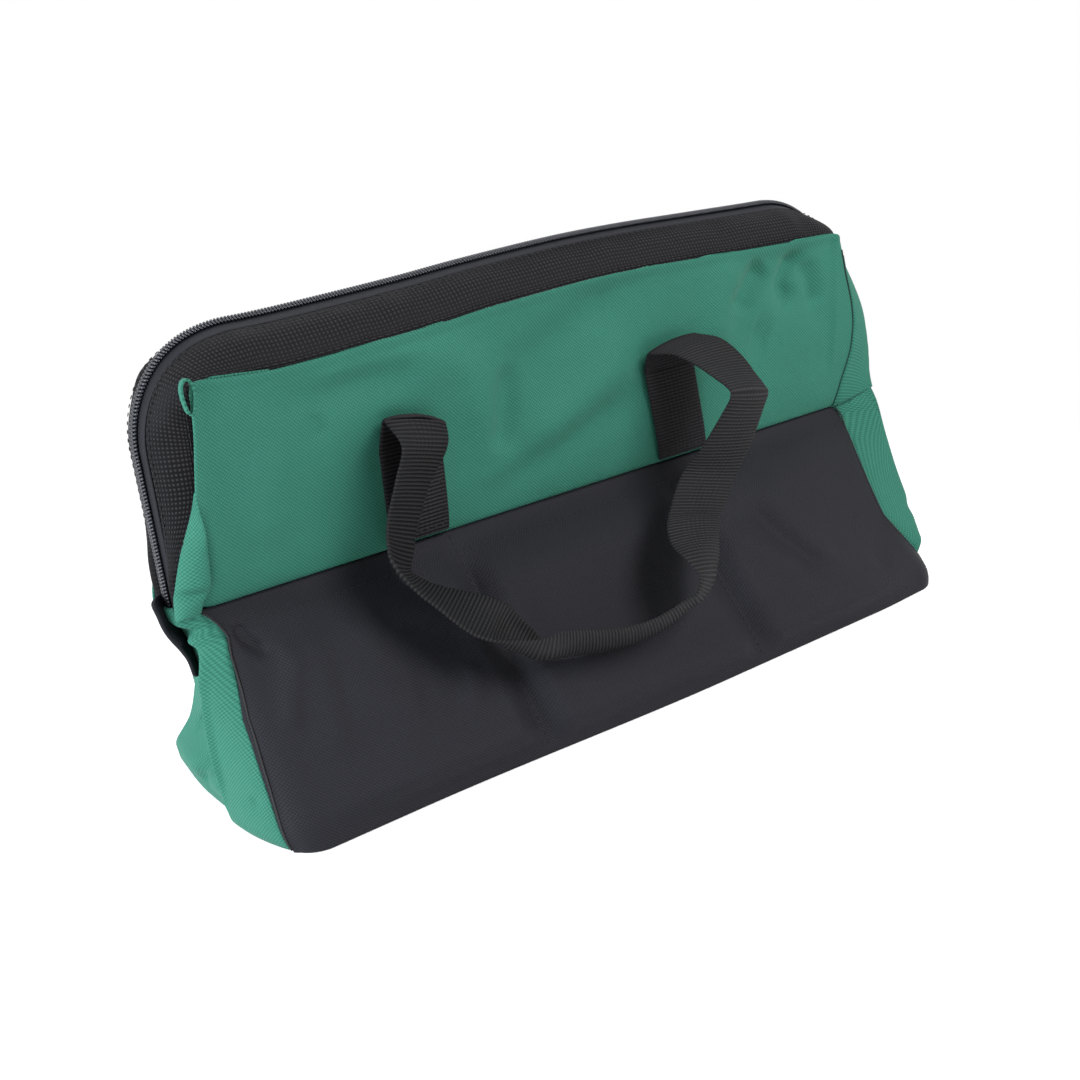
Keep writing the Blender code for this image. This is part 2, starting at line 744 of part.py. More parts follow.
def handle_end(x):
    """A strap end, from the panel's foot up its face to the fold at the strap's last point."""
    stand = WEBBING_THICKNESS / 2 + HANDLE_GAP
    edge_x = abs(x) + WEBBING_WIDTH / 2
    face = []
    for row in range(1, PANEL_ROWS):
        height = panel_height(row / PANEL_ROWS)
        face.append(Vector((x, -panel_depth(edge_x, height), height)))
    centres = []
    for index, point in enumerate(face[:-1]):
        if point.z > FOLD_HEIGHT - HANDLE_TURN:
            break
        rise = face[index + 1] - face[max(index - 1, 0)]
        centres.append(point + Vector((0, -rise.z, rise.y)).normalized() * stand)
    last = Vector((x, -FOLD_DEPTH + FOLD_GAP, FOLD_HEIGHT))
    turned = centres[-1].lerp(last, 0.6) + Vector((0, stand, 0))
    centres += [turned, last]
    return webbing(centres, [Vector((1, 0, 0))] * len(centres))


def grip():
    """The slack loop of webbing that hangs from the two folds."""
    middle = (HANDLE_RIGHT_REACH - HANDLE_LEFT_REACH) / 2
    half_span = (HANDLE_RIGHT_REACH + HANDLE_LEFT_REACH) / 2
    depth, height = -FOLD_DEPTH - FOLD_GAP, FOLD_HEIGHT - FOLD_GAP / 2
    places = [Vector((-HANDLE_LEFT_REACH, depth, height))]
    widths = [Vector((1, 0, 0))]
    for (x, y, z), width in GRIP_ROUTE_SHARES:
        places.append(Vector((middle + half_span * x, -GRIP_REACH * y, FOLD_HEIGHT * z)))
        widths.append(Vector(width))
    places.append(Vector((HANDLE_RIGHT_REACH, depth, height)))
    widths.append(Vector((-1, 0, 0)))
    return webbing(smooth_run(places, HANDLE_STEPS), smooth_run(widths, HANDLE_STEPS))


# Zip slider and pull


def slider_level(out):
    """The world X of a place that far out from the middle of the tape on the right-hand arm."""
    return MOUTH_REACH + out


def box(bm, low, high):
    low, high = Vector(low), Vector(high)
    made = bmesh.ops.create_cube(bm, size=1.0)
    bmesh.ops.scale(bm, verts=made["verts"], vec=high - low)
    bmesh.ops.translate(bm, verts=made["verts"], vec=(low + high) / 2)
    return made["verts"]


def slider_parts():
    """The slider's blocks, each overlapping the next so that they join into one body."""
    tape_out = TAPE_THICKNESS / 2
    roof = tape_out + ZIP_REST_GAP + COIL_HEIGHT + SLIDER_CLEARANCE
    floor = -tape_out - SLIDER_CLEARANCE
    head = SLIDER_FOOT + SLIDER_LENGTH
    half = SLIDER_HALF_WIDTH

    def roof_plate(bm):
        high = slider_level(roof + SLIDER_PLATE)
        corners = box(bm, (slider_level(roof), -half, SLIDER_FOOT), (high, half, head))
        for corner in corners:
            if corner.co.z > SLIDER_FOOT + SLIDER_LENGTH / 2:
                corner.co.y -= math.copysign(SLIDER_FLARE, corner.co.y)

    def floor_plate(bm):
        wide = SLIDER_FLOOR_HALF_WIDTH
        low = slider_level(floor - SLIDER_PLATE)
        corners = box(bm, (low, -wide, SLIDER_FOOT), (slider_level(floor), wide, head))
        for corner in corners:
            if corner.co.z > SLIDER_FOOT + SLIDER_LENGTH / 2:
                corner.co.y -= math.copysign(SLIDER_FLARE, corner.co.y)

    def neck(bm):
        box(
            bm,
            (slider_level(floor - SLIDER_MERGE), -SLIDER_NECK / 2, SLIDER_FOOT + SLIDER_MERGE),
            (slider_level(roof + SLIDER_MERGE), SLIDER_NECK / 2, SLIDER_FOOT + SLIDER_NECK_LENGTH),
        )

    def lip(side):
        def build(bm):
            inner = COIL_WIDTH + MOUTH_SPLIT / 2 + SLIDER_CLEARANCE
            low = (slider_level(tape_out + SLIDER_CLEARANCE), side * inner, SLIDER_FOOT)
            outer = side * (half - SLIDER_FLARE)
            high = (slider_level(roof + SLIDER_MERGE), outer, head - SLIDER_MERGE)
            pair = sorted((low[1], high[1]))
            box(bm, (low[0], pair[0], low[2] + SLIDER_MERGE), (high[0], pair[1], high[2]))

        return build

    def bridge(bm):
        middle = SLIDER_FOOT + SLIDER_LENGTH / 2
        low = slider_level(roof + SLIDER_PLATE)
        outline = (
            (low - SLIDER_MERGE, middle - BRIDGE_LENGTH / 2),
            (low + BRIDGE_HEIGHT - BRIDGE_BAR, middle - BRIDGE_LENGTH / 2),
            (low + BRIDGE_HEIGHT, middle - BRIDGE_LENGTH / 2 + BRIDGE_BAR),
            (low + BRIDGE_HEIGHT, middle + BRIDGE_LENGTH / 2 - BRIDGE_BAR),
            (low + BRIDGE_HEIGHT - BRIDGE_BAR, middle + BRIDGE_LENGTH / 2),
            (low - SLIDER_MERGE, middle + BRIDGE_LENGTH / 2),
            (low - SLIDER_MERGE, middle + BRIDGE_LENGTH / 2 - BRIDGE_BAR),
            (low + BRIDGE_HEIGHT - BRIDGE_BAR, middle + BRIDGE_LENGTH / 2 - BRIDGE_BAR),
            (low + BRIDGE_HEIGHT - BRIDGE_BAR, middle - BRIDGE_LENGTH / 2 + BRIDGE_BAR),
            (low - SLIDER_MERGE, middle - BRIDGE_LENGTH / 2 + BRIDGE_BAR),
        )
        face = bm.faces.new([bm.verts.new((x, -BRIDGE_WIDTH / 2, z)) for x, z in outline])
        made = bmesh.ops.extrude_face_region(bm, geom=[face])["geom"]
        raised = [item for item in made if isinstance(item, bmesh.types.BMVert)]
        bmesh.ops.translate(bm, verts=raised, vec=(0, BRIDGE_WIDTH, 0))

    return roof_plate, (floor_plate, neck, lip(-1), lip(1), bridge)


def joined(name, first, rest, material, parent, collection, cutters):
    """One body made of a first block and the blocks that a Boolean union adds to it."""
    piece = add_piece(name, mesh_from(first), material, parent, collection, smooth=False)
    for index, build in enumerate(rest):
        other = bpy.data.objects.new(f"{name}_block_{index}", mesh_from(build))
        other.hide_render = True
        other.display_type = "WIRE"
        cutters.objects.link(other)
        union = piece.modifiers.new(f"Join {index}", "BOOLEAN")
        union.operation = "UNION"
        union.object = other
    return piece


def pull_axis():
    """Where the pull's pin runs, under the slider's bridge: world X and Z."""
    roof = TAPE_THICKNESS / 2 + ZIP_REST_GAP + COIL_HEIGHT + SLIDER_CLEARANCE + SLIDER_PLATE
    gap = BRIDGE_HEIGHT - BRIDGE_BAR
    return slider_level(roof + gap / 2), SLIDER_FOOT + SLIDER_LENGTH / 2


def pull_parts():
    """The pull: two side arms and a crossing pin round the slot, and the blade below it."""
    x, z = pull_axis()
    half = PULL_THICKNESS / 2
    slot = PULL_SLOT_WIDTH / 2
    wide = PULL_WIDTH / 2

    def blade(bm):
        shoulder = z - PULL_SLOT_LENGTH
        corners = box(bm, (x - half, -wide, z - PULL_LENGTH), (x + half, wide, shoulder))
        for corner in corners:
            if corner.co.z < shoulder - half:
                corner.co.y *= PULL_TIP_WIDTH / PULL_WIDTH
        tips = [edge for edge in bm.edges if edge.verts[0].co.z < shoulder - half and edge.verts[1].co.z < shoulder - half]
        tips = [edge for edge in tips if abs(edge.verts[0].co.y - edge.verts[1].co.y) < half]
        bmesh.ops.bevel(
            bm, geom=tips, offset=PULL_CORNER, segments=2, profile=0.5, affect="EDGES", material=-1
        )

    def arm(side):
        def build(bm):
            pair = sorted((side * slot, side * wide))
            low = z - PULL_SLOT_LENGTH - SLIDER_MERGE
            box(bm, (x - half, pair[0], low), (x + half, pair[1], z + half))

        return build

    def pin(bm):
        radius = PULL_PIN_DIAMETER / 2
        turn = Matrix.Translation((x, 0, z)) @ Matrix.Rotation(math.pi / 2, 4, "X")
        bmesh.ops.create_cone(
            bm,
            cap_ends=True,
            segments=10,
            radius1=radius,
            radius2=radius,
            depth=PULL_SLOT_WIDTH + PULL_PIN_DIAMETER,
            matrix=turn,
        )

    return blade, (arm(-1), arm(1), pin)


# Zip end tabs


def zip_tab(route):
    """A folded cloth tab along the route, its width across the bag."""
    points = smooth_run([Vector(point) for point in route], TAB_STEPS // 2)

    def build(bm):
        rings = []
        for index, point in enumerate(points):
            along = points[min(index + 1, len(points) - 1)] - points[max(index - 1, 0)]
            face = along.cross(Vector((0, 1, 0))).normalized() * TAB_THICKNESS / 2
            reach = Vector((0, TAB_WIDTH / 2, 0))
            rings.append([point + reach + face, point - reach + face, point - reach - face, point + reach - face])
        loft(bm, rings)

    return mesh_from(build)


def build_tabs(bag, collection, cloths):
    """Left: sewn on by its middle, its free top end standing off the zip. Right: hanging."""
    out = MOUTH_REACH + COIL_HEIGHT + TAPE_THICKNESS + TAB_THICKNESS
    seat = SEAM_HALF_LENGTH + TAB_THICKNESS / 2 + SEAM_GAP
    drop = TAB_LENGTH / 2
    left = (
        (-out - drop / 4, 0, SEAM_HEIGHT + drop / 2),
        (-out, 0, SEAM_HEIGHT + drop / 8),
        (SEAM_GAP - seat, 0, SEAM_HEIGHT - drop / 10),
        (-seat + drop / 8, 0, SEAM_HEIGHT - drop * 1.5),
    )
    right = (
        (seat, 0, SEAM_HEIGHT - SEAM_GAP),
        (seat, 0, SEAM_HEIGHT - drop),
        (seat - drop / 8, 0, SEAM_HEIGHT - TAB_LENGTH),
    )
    add_piece("left_zip_tab", zip_tab(left), cloths["webbing"], bag, collection)
    add_piece("right_zip_tab", zip_tab(right), cloths["webbing"], bag, collection)


def main():
    clear_scene()
    collection = bpy.data.collections.new("tool_bag")
    cutters = bpy.data.collections.new("joining_blocks")
    bpy.context.scene.collection.children.link(collection)
    bpy.context.scene.collection.children.link(cutters)
    cloths = {
        "green": finish("green_cloth", (0.035, 0.22, 0.14), 0.75),
        "grey": finish("grey_cloth", (0.032, 0.032, 0.042), 0.8),
        "webbing": finish("black_webbing", (0.018, 0.017, 0.017), 0.85),
        "coil": finish("zip_nylon", (0.045, 0.047, 0.06), 0.35),
        "steel": finish("frame_steel", (0.55, 0.55, 0.56), 0.35, 1.0),
        "board": finish("board_plastic", (0.03, 0.03, 0.03), 0.6),
        "slider": finish("slider_metal", (0.03, 0.03, 0.035), 0.35, 0.6),
    }
    bag = axis_empty("bag", Vector(), None, collection)
    build_lower_body(bag, collection, cloths)
    build_tabs(bag, collection, cloths)

    stations = mouth_stations()
    halves = (("front", -1, stations), ("rear", 1, without_tail(stations)))
    for word, side, zip_stations in halves:
        hinge = Vector((0, side * SEAM_HALF_DEPTH, SEAM_HEIGHT))
        holder = axis_empty(f"{word}_frame_axis", hinge, bag, collection)
        build_half(word, side, holder, collection, cloths, stations, zip_stations)
        fold = Vector((0, side * FOLD_DEPTH, FOLD_HEIGHT))
        fold_axis = axis_empty(f"{word}_fold_axis", fold, holder, collection)
        turn = Matrix.Rotation(math.pi * (side + 1) / 2, 4, "Z")
        for x in (-HANDLE_LEFT_REACH, HANDLE_RIGHT_REACH):
            strap = handle_end(x)
            strap.transform(turn)
            end_word = "left" if -side * x < 0 else "right"
            add_piece(f"{word}_handle_{end_word}_end", strap, cloths["webbing"], holder, collection)
        loop = grip()
        loop.transform(turn)
        add_piece(f"{word}_handle_grip", loop, cloths["webbing"], fold_axis, collection)

    front_holder = bpy.data.objects["front_frame_axis"]
    first, rest = slider_parts()
    joined("zip_slider", first, rest, cloths["slider"], front_holder, collection, cutters)
    first, rest = pull_parts()
    pin_x, pin_z = pull_axis()
    pull_holder = axis_empty("pull_axis", Vector((pin_x, 0, pin_z)), front_holder, collection)
    joined("zip_pull", first, rest, cloths["slider"], pull_holder, collection, cutters)


main()
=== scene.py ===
"""Looks of a wide-mouth tool bag: cloth, webbing, zip, stitching, studio and camera.

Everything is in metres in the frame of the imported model: +Z up, +X along the bag, front at -Y.
"""

import logging
import math
from dataclasses import dataclass
from enum import Enum
from functools import partial
from typing import Callable, Dict, List, Optional, Sequence, Tuple

import bmesh
import bpy
import numpy as np
from mathutils import Matrix, Vector

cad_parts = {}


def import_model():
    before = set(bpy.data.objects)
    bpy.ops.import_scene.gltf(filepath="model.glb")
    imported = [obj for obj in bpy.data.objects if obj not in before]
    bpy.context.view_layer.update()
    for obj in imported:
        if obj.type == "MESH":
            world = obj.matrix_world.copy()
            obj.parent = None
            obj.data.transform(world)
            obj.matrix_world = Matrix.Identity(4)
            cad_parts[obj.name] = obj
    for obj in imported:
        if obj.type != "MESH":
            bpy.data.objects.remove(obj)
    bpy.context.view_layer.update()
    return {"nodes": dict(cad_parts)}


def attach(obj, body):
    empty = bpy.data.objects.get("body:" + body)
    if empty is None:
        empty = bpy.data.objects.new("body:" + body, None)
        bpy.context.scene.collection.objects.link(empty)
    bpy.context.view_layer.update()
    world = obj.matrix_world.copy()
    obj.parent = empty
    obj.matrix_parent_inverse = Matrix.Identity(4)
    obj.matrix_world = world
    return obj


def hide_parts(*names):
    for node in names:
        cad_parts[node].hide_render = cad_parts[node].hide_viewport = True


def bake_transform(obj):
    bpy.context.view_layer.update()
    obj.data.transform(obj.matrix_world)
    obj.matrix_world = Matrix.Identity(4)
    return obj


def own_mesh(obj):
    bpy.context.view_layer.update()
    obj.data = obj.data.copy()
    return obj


LOG = logging.getLogger("tool_bag")

Array = np.ndarray
Place = Callable[[Array, Array], Array]
Section = Callable[[Array, Array], Tuple[Array, Array]]
Colour = Tuple[float, float, float]
Table = Tuple[Tuple[float, ...], ...]


class Side(Enum):
    """The two halves of the bag."""

    FRONT = -1
    REAR = 1

    @property
    def word(self) -> str:
        """The half's name in lower case."""
        return self.name.lower()


class End(Enum):
    """The two ends of the bag."""

    LEFT = -1
    RIGHT = 1

    @property
    def word(self) -> str:
        """The end's name in lower case."""
        return self.name.lower()


# Tools shared by the sub-assemblies


def ease(share: Array) -> Array:
    """A smooth step of a share, held between 0 and 1 and flat at both ends."""
    share = np.clip(share, 0.0, 1.0)
    return share * share * (3 - 2 * share)


def ramp(value: Array, start: float, length: float) -> Array:
    """A smooth step, from 0 at the start to 1 at that length further on."""
    return ease((value - start) / length)


def mix(low: Array, high: Array, share: Array) -> Array:
    """The value at that share of the way from low to high."""
    return low + (high - low) * share


def unit(vectors: Array) -> Array:
    """The vectors, each divided by its length."""
    return vectors / np.maximum(np.linalg.norm(vectors, axis=-1, keepdims=True), 1e-12)


def xyz(x: Array, y: Array, z: Array) -> Array:
    """Rows of points from their coordinates, each an array or a single number."""
    return np.stack(np.broadcast_arrays(x, y, z), 1)


def distances(points: Array) -> Array:
    """How far along a line of points each of them lies."""
    return np.concatenate([[0], np.cumsum(np.linalg.norm(np.diff(points, axis=0), axis=1))])


@dataclass(frozen=True)
class Unevenness:
    """Smooth random relief on a plane, the same on every run."""

    seed: int
    pitch: Tuple[float, float]
    size: int = 64

    def at(self, first: Array, second: Array) -> Array:
        """The relief, from about -1 to 1.

        Args:
            first: First coordinate in metres.
            second: Second coordinate in metres.

        Returns:
            The relief at each place.
        """
        lattice = np.random.default_rng(self.seed).uniform(-1, 1, (self.size, self.size))
        a = first / self.pitch[0] + self.size * 4
        b = second / self.pitch[1] + self.size * 4
        i, j = np.floor(a).astype(int), np.floor(b).astype(int)
        s, t = ease(a - i), ease(b - j)
        i, j = i % self.size, j % self.size
        k, m = (i + 1) % self.size, (j + 1) % self.size
        near = mix(lattice[i, j], lattice[k, j], s)
        far = mix(lattice[i, m], lattice[k, m], s)
        return mix(near, far, t)


@dataclass(frozen=True)
class Fold:
    """A ridge (or, with a negative height, a hollow) along a line on a cloth's flat pattern."""

    line: Tuple[Tuple[float, float], ...]
    width: float
    height: float
    knots: int = 14
    tip: float = 0.25
    tip_run: float = 0.25

    def at(self, first: Array, second: Array) -> Array:
        """The fold's height at each place of the pattern.

        Args:
            first: First pattern coordinate in metres.
            second: Second pattern coordinate in metres.

        Returns:
            The height in metres, which tapers towards the line's two ends.
        """
        knots = smooth_run(self.line, self.knots)
        nearest = np.full(np.shape(first), 1.0)
        share = np.zeros_like(nearest)
        for index, (a, b) in enumerate(zip(knots, knots[1:])):
            run = b - a
            x, y = first - a[0], second - a[1]
            along = np.clip((x * run[0] + y * run[1]) / (run @ run), 0, 1)
            distance = np.hypot(x - along * run[0], y - along * run[1])
            closer = distance < nearest
            nearest = np.where(closer, distance, nearest)
            share = np.where(closer, (index + along) / (len(knots) - 1), share)
        inner = ramp(share, 0, self.tip_run) * ramp(1 - share, 0, self.tip_run)
        return self.height * mix(self.tip, 1.0, inner) * np.exp(-((nearest / self.width) ** 2))


def folded(folds: Sequence[Fold], first: Array, second: Array) -> Array:
    """The summed height of all the folds at each place."""
    return sum((fold.at(first, second) for fold in folds), np.zeros_like(first))


def smooth_run(points: Sequence[Sequence[float]], count: int, fineness: int = 40) -> Array:
    """Evenly spaced points on a smooth curve through the given ones.

    Args:
        points: The points that the curve passes through.
        count: How many points to return.
        fineness: How many steps the curve takes between two given points.

    Returns:
        The points, evenly spaced along the curve.
    """
    given = np.array(points, float)
    padded = np.vstack([2 * given[0] - given[1], given, 2 * given[-1] - given[-2]])
    run: List[Array] = []
    t = np.linspace(0, 1, fineness, endpoint=False)[:, None]
    for i in range(1, len(padded) - 2):
        a, b, c, d = padded[i - 1 : i + 3]
        square, cube = 2 * a - 5 * b + 4 * c - d, 3 * b - a - 3 * c + d
        run.append(0.5 * (2 * b + (c - a) * t + square * t**2 + cube * t**3))
    fine = np.vstack(run + [given[-1:]])
    travelled = distances(fine[:, :3])
    wanted = np.linspace(0, travelled[-1], count)
    return np.stack([np.interp(wanted, travelled, column) for column in fine.T], 1)


def tabled(table: Sequence[Sequence[float]], height: Array) -> Array:
    """A value at each height, read from a smooth curve through a table of heights and values."""
    knots = smooth_run(np.array(table).T, 160)
    return np.interp(height, knots[:, 0], knots[:, 1])


def arched(start: Array, crest: Array, end: Array, share: Array) -> Array:
    """Points on curves from start to end that pass through a crest half way.

    Args:
        start: Where each curve starts.
        crest: What each passes through.
        end: Where each ends.
        share: How far along each curve its point lies.

    Returns:
        The points.
    """
    pull = 2 * crest - (start + end) / 2
    share = share[:, None]
    return start * (1 - share) ** 2 + pull * 2 * share * (1 - share) + end * share**2


def grid_piece(
    name: str,
    columns: int,
    rows: int,
    place: Place,
    flat: Tuple[float, float],
    outward: Optional[Sequence[float]] = None,
    thickness: float = 0.0,
    wrapped: bool = False,
) -> bpy.types.Object:
    """A piece made of a grid that is laid on a surface.

    Args:
        name: The piece's name.
        columns: Faces from side to side.
        rows: Faces from foot to top.
        place: Gives the points for arrays of u and v, each from 0 to 1.
        flat: The size in metres that the pattern coordinates span.
        outward: For an open sheet, the direction that its shown face looks in.
        thickness: For an open sheet, how thick it is, inwards from its shown face.
        wrapped: Whether the first and last columns meet, so that the piece is a closed sweep.

    Returns:
        The piece, linked into the scene.
    """
    bm = bmesh.new()
    layer = bm.loops.layers.uv.new("Pattern")
    bmesh.ops.create_grid(bm, x_segments=columns, y_segments=rows, size=0.5)
    bmesh.ops.translate(bm, verts=bm.verts, vec=(0.5, 0.5, 0))
    for face in bm.faces:
        for loop in face.loops:
            co = loop.vert.co
            loop[layer].uv = (co.x * flat[0], co.y * flat[1])
    bm.verts.ensure_lookup_table()
    flat_places = np.array([vert.co[:2] for vert in bm.verts])
    for vert, point in zip(bm.verts, place(flat_places[:, 0], flat_places[:, 1])):
        vert.co = point
    if wrapped:
        bmesh.ops.remove_doubles(bm, verts=bm.verts, dist=1e-6)
        rims = [edge for edge in bm.edges if edge.is_boundary]
        bmesh.ops.holes_fill(bm, edges=rims, sides=0)
        bmesh.ops.recalc_face_normals(bm, faces=bm.faces)
    elif outward is not None:
        bm.normal_update()
        total = sum((face.normal * face.calc_area() for face in bm.faces), Vector())
        if total.dot(Vector(outward)) < 0:
            bmesh.ops.reverse_faces(bm, faces=bm.faces)
    piece = piece_from(name, bm)
    if thickness:
        solid = piece.modifiers.new("Thickness", "SOLIDIFY")
        solid.thickness = thickness
        solid.offset = -1.0
        solid.use_even_offset = False
    return piece


@dataclass
class Rail:
    """A line with two directions across it at each of its places."""

    centre: Array
    first: Array
    second: Array

    @classmethod
    def along(cls, centre: Array, beside: Array) -> "Rail":
        """A rail whose directions are square to its line, the first of them square to another too."""
        run = unit(np.gradient(centre, axis=0))
        first = unit(np.cross(run, beside))
        return cls(centre, first, np.cross(run, first))

    def at(self, row: Array, reach: Array, lift: Array) -> Array:
        """Points off the line at those rows, so far in each of its two directions."""
        return self.centre[row] + self.first[row] * reach[:, None] + self.second[row] * lift[:, None]

    def swept(
        self,
        name: str,
        columns: int,
        section: Section,
        flat: Tuple[float, float],
        put: Callable[[Array], Array] = np.array,
    ) -> bpy.types.Object:
        """A closed piece swept along the line.

        Args:
            name: The piece's name.
            columns: Faces round its section.
            section: How far off the line in both directions, for arrays of rows and of turns in radians.
            flat: The size in metres that the pattern coordinates span.
            put: Moves the finished points to where they belong.

        Returns:
            The piece, linked into the scene.
        """
        rows = len(self.centre) - 1

        def place(u: Array, v: Array) -> Array:
            """Round the section by u, along the line by v."""
            row = np.rint(v * rows).astype(int)
            return put(self.at(row, *section(row, 2 * math.pi * u)))

        return grid_piece(name, columns, rows, place, flat, wrapped=True)


def ring(radius: float) -> Section:
    """The section of a round cord."""
    return lambda row, turn: (np.cos(turn) * radius, np.sin(turn) * radius)


def lay_pattern(
    piece: bpy.types.Object, axis: int, slope: float, lobes: float = 0.0, valley: float = 0.0
) -> None:
    """Lays the cloth's pattern flat on a wall, so that its weave isn't stretched.

    Args:
        piece: The wall.
        axis: The axis that the wall runs along, 0 or 1.
        slope: How much longer the wall is than it is high.
        lobes: How much of the folds on either side of an end's middle adds to its width.
        valley: Where along X the middle between those folds lies.
    """
    layer = piece.data.uv_layers["Pattern"].data
    for loop in piece.data.loops:
        co = piece.data.vertices[loop.vertex_index].co
        layer[loop.index].uv = (co[axis] - math.copysign(lobes, co.y) * (co.x - valley), co.z * slope)


def piece_from(name: str, bm: bmesh.types.BMesh) -> bpy.types.Object:
    """Turns a bmesh into a smooth-shaded piece and frees it."""
    mesh = bpy.data.meshes.new(name)
    bm.to_mesh(mesh)
    bm.free()
    mesh.shade_smooth()
    piece = bpy.data.objects.new(name, mesh)
    bpy.context.scene.collection.objects.link(piece)
    return piece


def dress(
    piece: bpy.types.Object, material: bpy.types.Material, slot: str, body: str, *nodes: str
) -> None:
    """Gives a piece its finish, the body it rides on and the nodes that it stands for.

    Args:
        piece: The piece.
        material: Its material.
        slot: The record's material slot; not used.
        body: The body that carries it, or an empty string for none.
        nodes: CAD nodes that the piece replaces.
    """
    piece.data.materials.clear()
    piece.data.materials.append(material)
    if body:
        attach(piece, body)
    if nodes:
        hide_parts(*nodes)
    LOG.info("%s: %d faces", piece.name, len(piece.data.polygons))


# Finishes


class Wire:
    """A shader value that can be reckoned with like a number."""

    def __init__(self, bench: "NodeBench", socket: bpy.types.NodeSocket) -> None:
        """Holds a socket and the bench that it is on."""
        self.bench = bench
        self.socket = socket

    def __add__(self, other: object) -> "Wire":
        """The sum of both."""
        return self.bench.maths("ADD", self, other)

    def __sub__(self, other: object) -> "Wire":
        """What is left when the other is taken away."""
        return self.bench.maths("SUBTRACT", self, other)

    def __mul__(self, other: object) -> "Wire":
        """The product of both."""
        return self.bench.maths("MULTIPLY", self, other)

    def __pow__(self, other: float) -> "Wire":
        """The value raised to that power."""
        return self.bench.maths("POWER", self, other)

    def wave(self, pitch: float) -> "Wire":
        """A wave from 0 to 1 along this coordinate."""
        return (self.bench.maths("SINE", self * (2 * math.pi / pitch)) + 1.0) * 0.5


class NodeBench:
    """Wires the nodes of a material or of the world."""

    def __init__(self, holder: bpy.types.ID) -> None:
        """Starts with the nodes that a new material or world has."""
        holder.use_nodes = True
        self.holder = holder
        self.tree = holder.node_tree
        self.shader = self.tree.nodes.get("Principled BSDF")

    def node(self, kind: str, **values: object) -> bpy.types.Node:
        """Adds a node.

        Args:
            kind: The node's type name after "ShaderNode".
            values: Properties, or socket names with underscores for spaces.

        Returns:
            The node.
        """
        made = self.tree.nodes.new("ShaderNode" + kind)
        for key, value in values.items():
            if hasattr(made, key):
                setattr(made, key, value)
            else:
                self.feed(made.inputs[key.replace("_", " ")], value)
        return made

    def feed(self, socket: bpy.types.NodeSocket, value: object) -> None:
        """Gives an input a wire, another node's output or a fixed value."""
        value = value.socket if isinstance(value, Wire) else value
        if isinstance(value, bpy.types.NodeSocket):
            self.tree.links.new(value, socket)
        else:
            socket.default_value = value

    def shade(self, **values: object) -> None:
        """Feeds inputs of the shader, named with underscores for spaces."""
        for key, value in values.items():
            self.feed(self.shader.inputs[key.replace("_", " ")], value)

    def maths(self, operation: str, first: object, second: object = 0.0) -> Wire:
        """A Math node of that operation on wires or numbers."""
        made = self.node("Math", operation=operation)
        self.feed(made.inputs[0], first)
        self.feed(made.inputs[1], second)
        return Wire(self, made.outputs[0])

    def blend(self, share: Wire, first: Colour, second: Colour) -> Wire:
        """A mix of two colours, the first one where the share is 0."""
        made = self.node("Mix", data_type="RGBA")
        for index, value in ((0, share), (6, (*first, 1.0)), (7, (*second, 1.0))):
            self.feed(made.inputs[index], value)
        return Wire(self, made.outputs[2])

    def pattern(self) -> Tuple[Wire, Wire]:
        """The piece's pattern coordinates in metres."""
        source = self.node("UVMap", uv_map="Pattern")
        split = self.node("SeparateXYZ", Vector=source.outputs[0])
        return Wire(self, split.outputs[0]), Wire(self, split.outputs[1])

    def cloud(self, scale: float, detail: float = 3.0) -> Wire:
        """Soft noise in object space, from 0 to 1."""
        place = self.node("TexCoord").outputs["Object"]
        noise = self.node("TexNoise", Vector=place, Scale=scale, Detail=detail, Roughness=0.55)
        return Wire(self, noise.outputs[0])

    def relief(self, height: Wire, depth: float, strength: float) -> None:
        """Raises the surface by a pattern of that depth in metres."""
        bump = self.node("Bump", Height=height, Strength=strength, Distance=depth)
        self.shade(Normal=bump.outputs[0])

    def watched(self) -> Wire:
        """1 for rays from the camera, off gloss and through glass, 0 for the rest."""
        rays = self.node("LightPath").outputs
        seen = self.maths("MAXIMUM", rays["Is Camera Ray"], rays["Is Glossy Ray"])
        return self.maths("MAXIMUM", seen, rays["Is Transmission Ray"])


@dataclass(frozen=True)
class Finish:
    """What every finish has: a name, and a dark and a light colour."""

    name: str
    dark: Colour
    light: Colour

    def made(self) -> bpy.types.Material:
        """Builds the material."""
        bench = NodeBench(bpy.data.materials.new(self.name))
        self.wire(bench)
        return bench.holder

    def wire(self, bench: NodeBench) -> None:
        """Wires the material's nodes."""
        raise NotImplementedError


@dataclass(frozen=True)
class WovenCloth(Finish):
    """Coated polyester cloth with a fine slanting weave."""

    roughness: float
    sheen: float
    weave: float = 0.00145
    cross_weave: float = 0.86

    def wire(self, bench: NodeBench) -> None:
        """Wires two crossed sets of threads under soft patches and flecks."""
        along, up = bench.pattern()
        ribs = (along * 0.72 + up * 0.69).wave(self.weave)
        threads = (along * 0.72 - up * 0.69).wave(self.weave * self.cross_weave)
        weave = ribs * 0.52 + threads * 0.48
        patches = bench.cloud(14.0)
        flecks = bench.cloud(900.0, 2.0)
        share = weave * 0.62 + patches * 0.2 + flecks * 0.18
        bench.shade(Base_Color=bench.blend(share, self.dark, self.light))
        bench.shade(Roughness=patches * 0.16 + (self.roughness - 0.08), Specular_IOR_Level=0.12)
        bench.shade(Sheen_Weight=self.sheen, Sheen_Roughness=0.4)
        bench.relief(weave, 0.00025, 0.8)


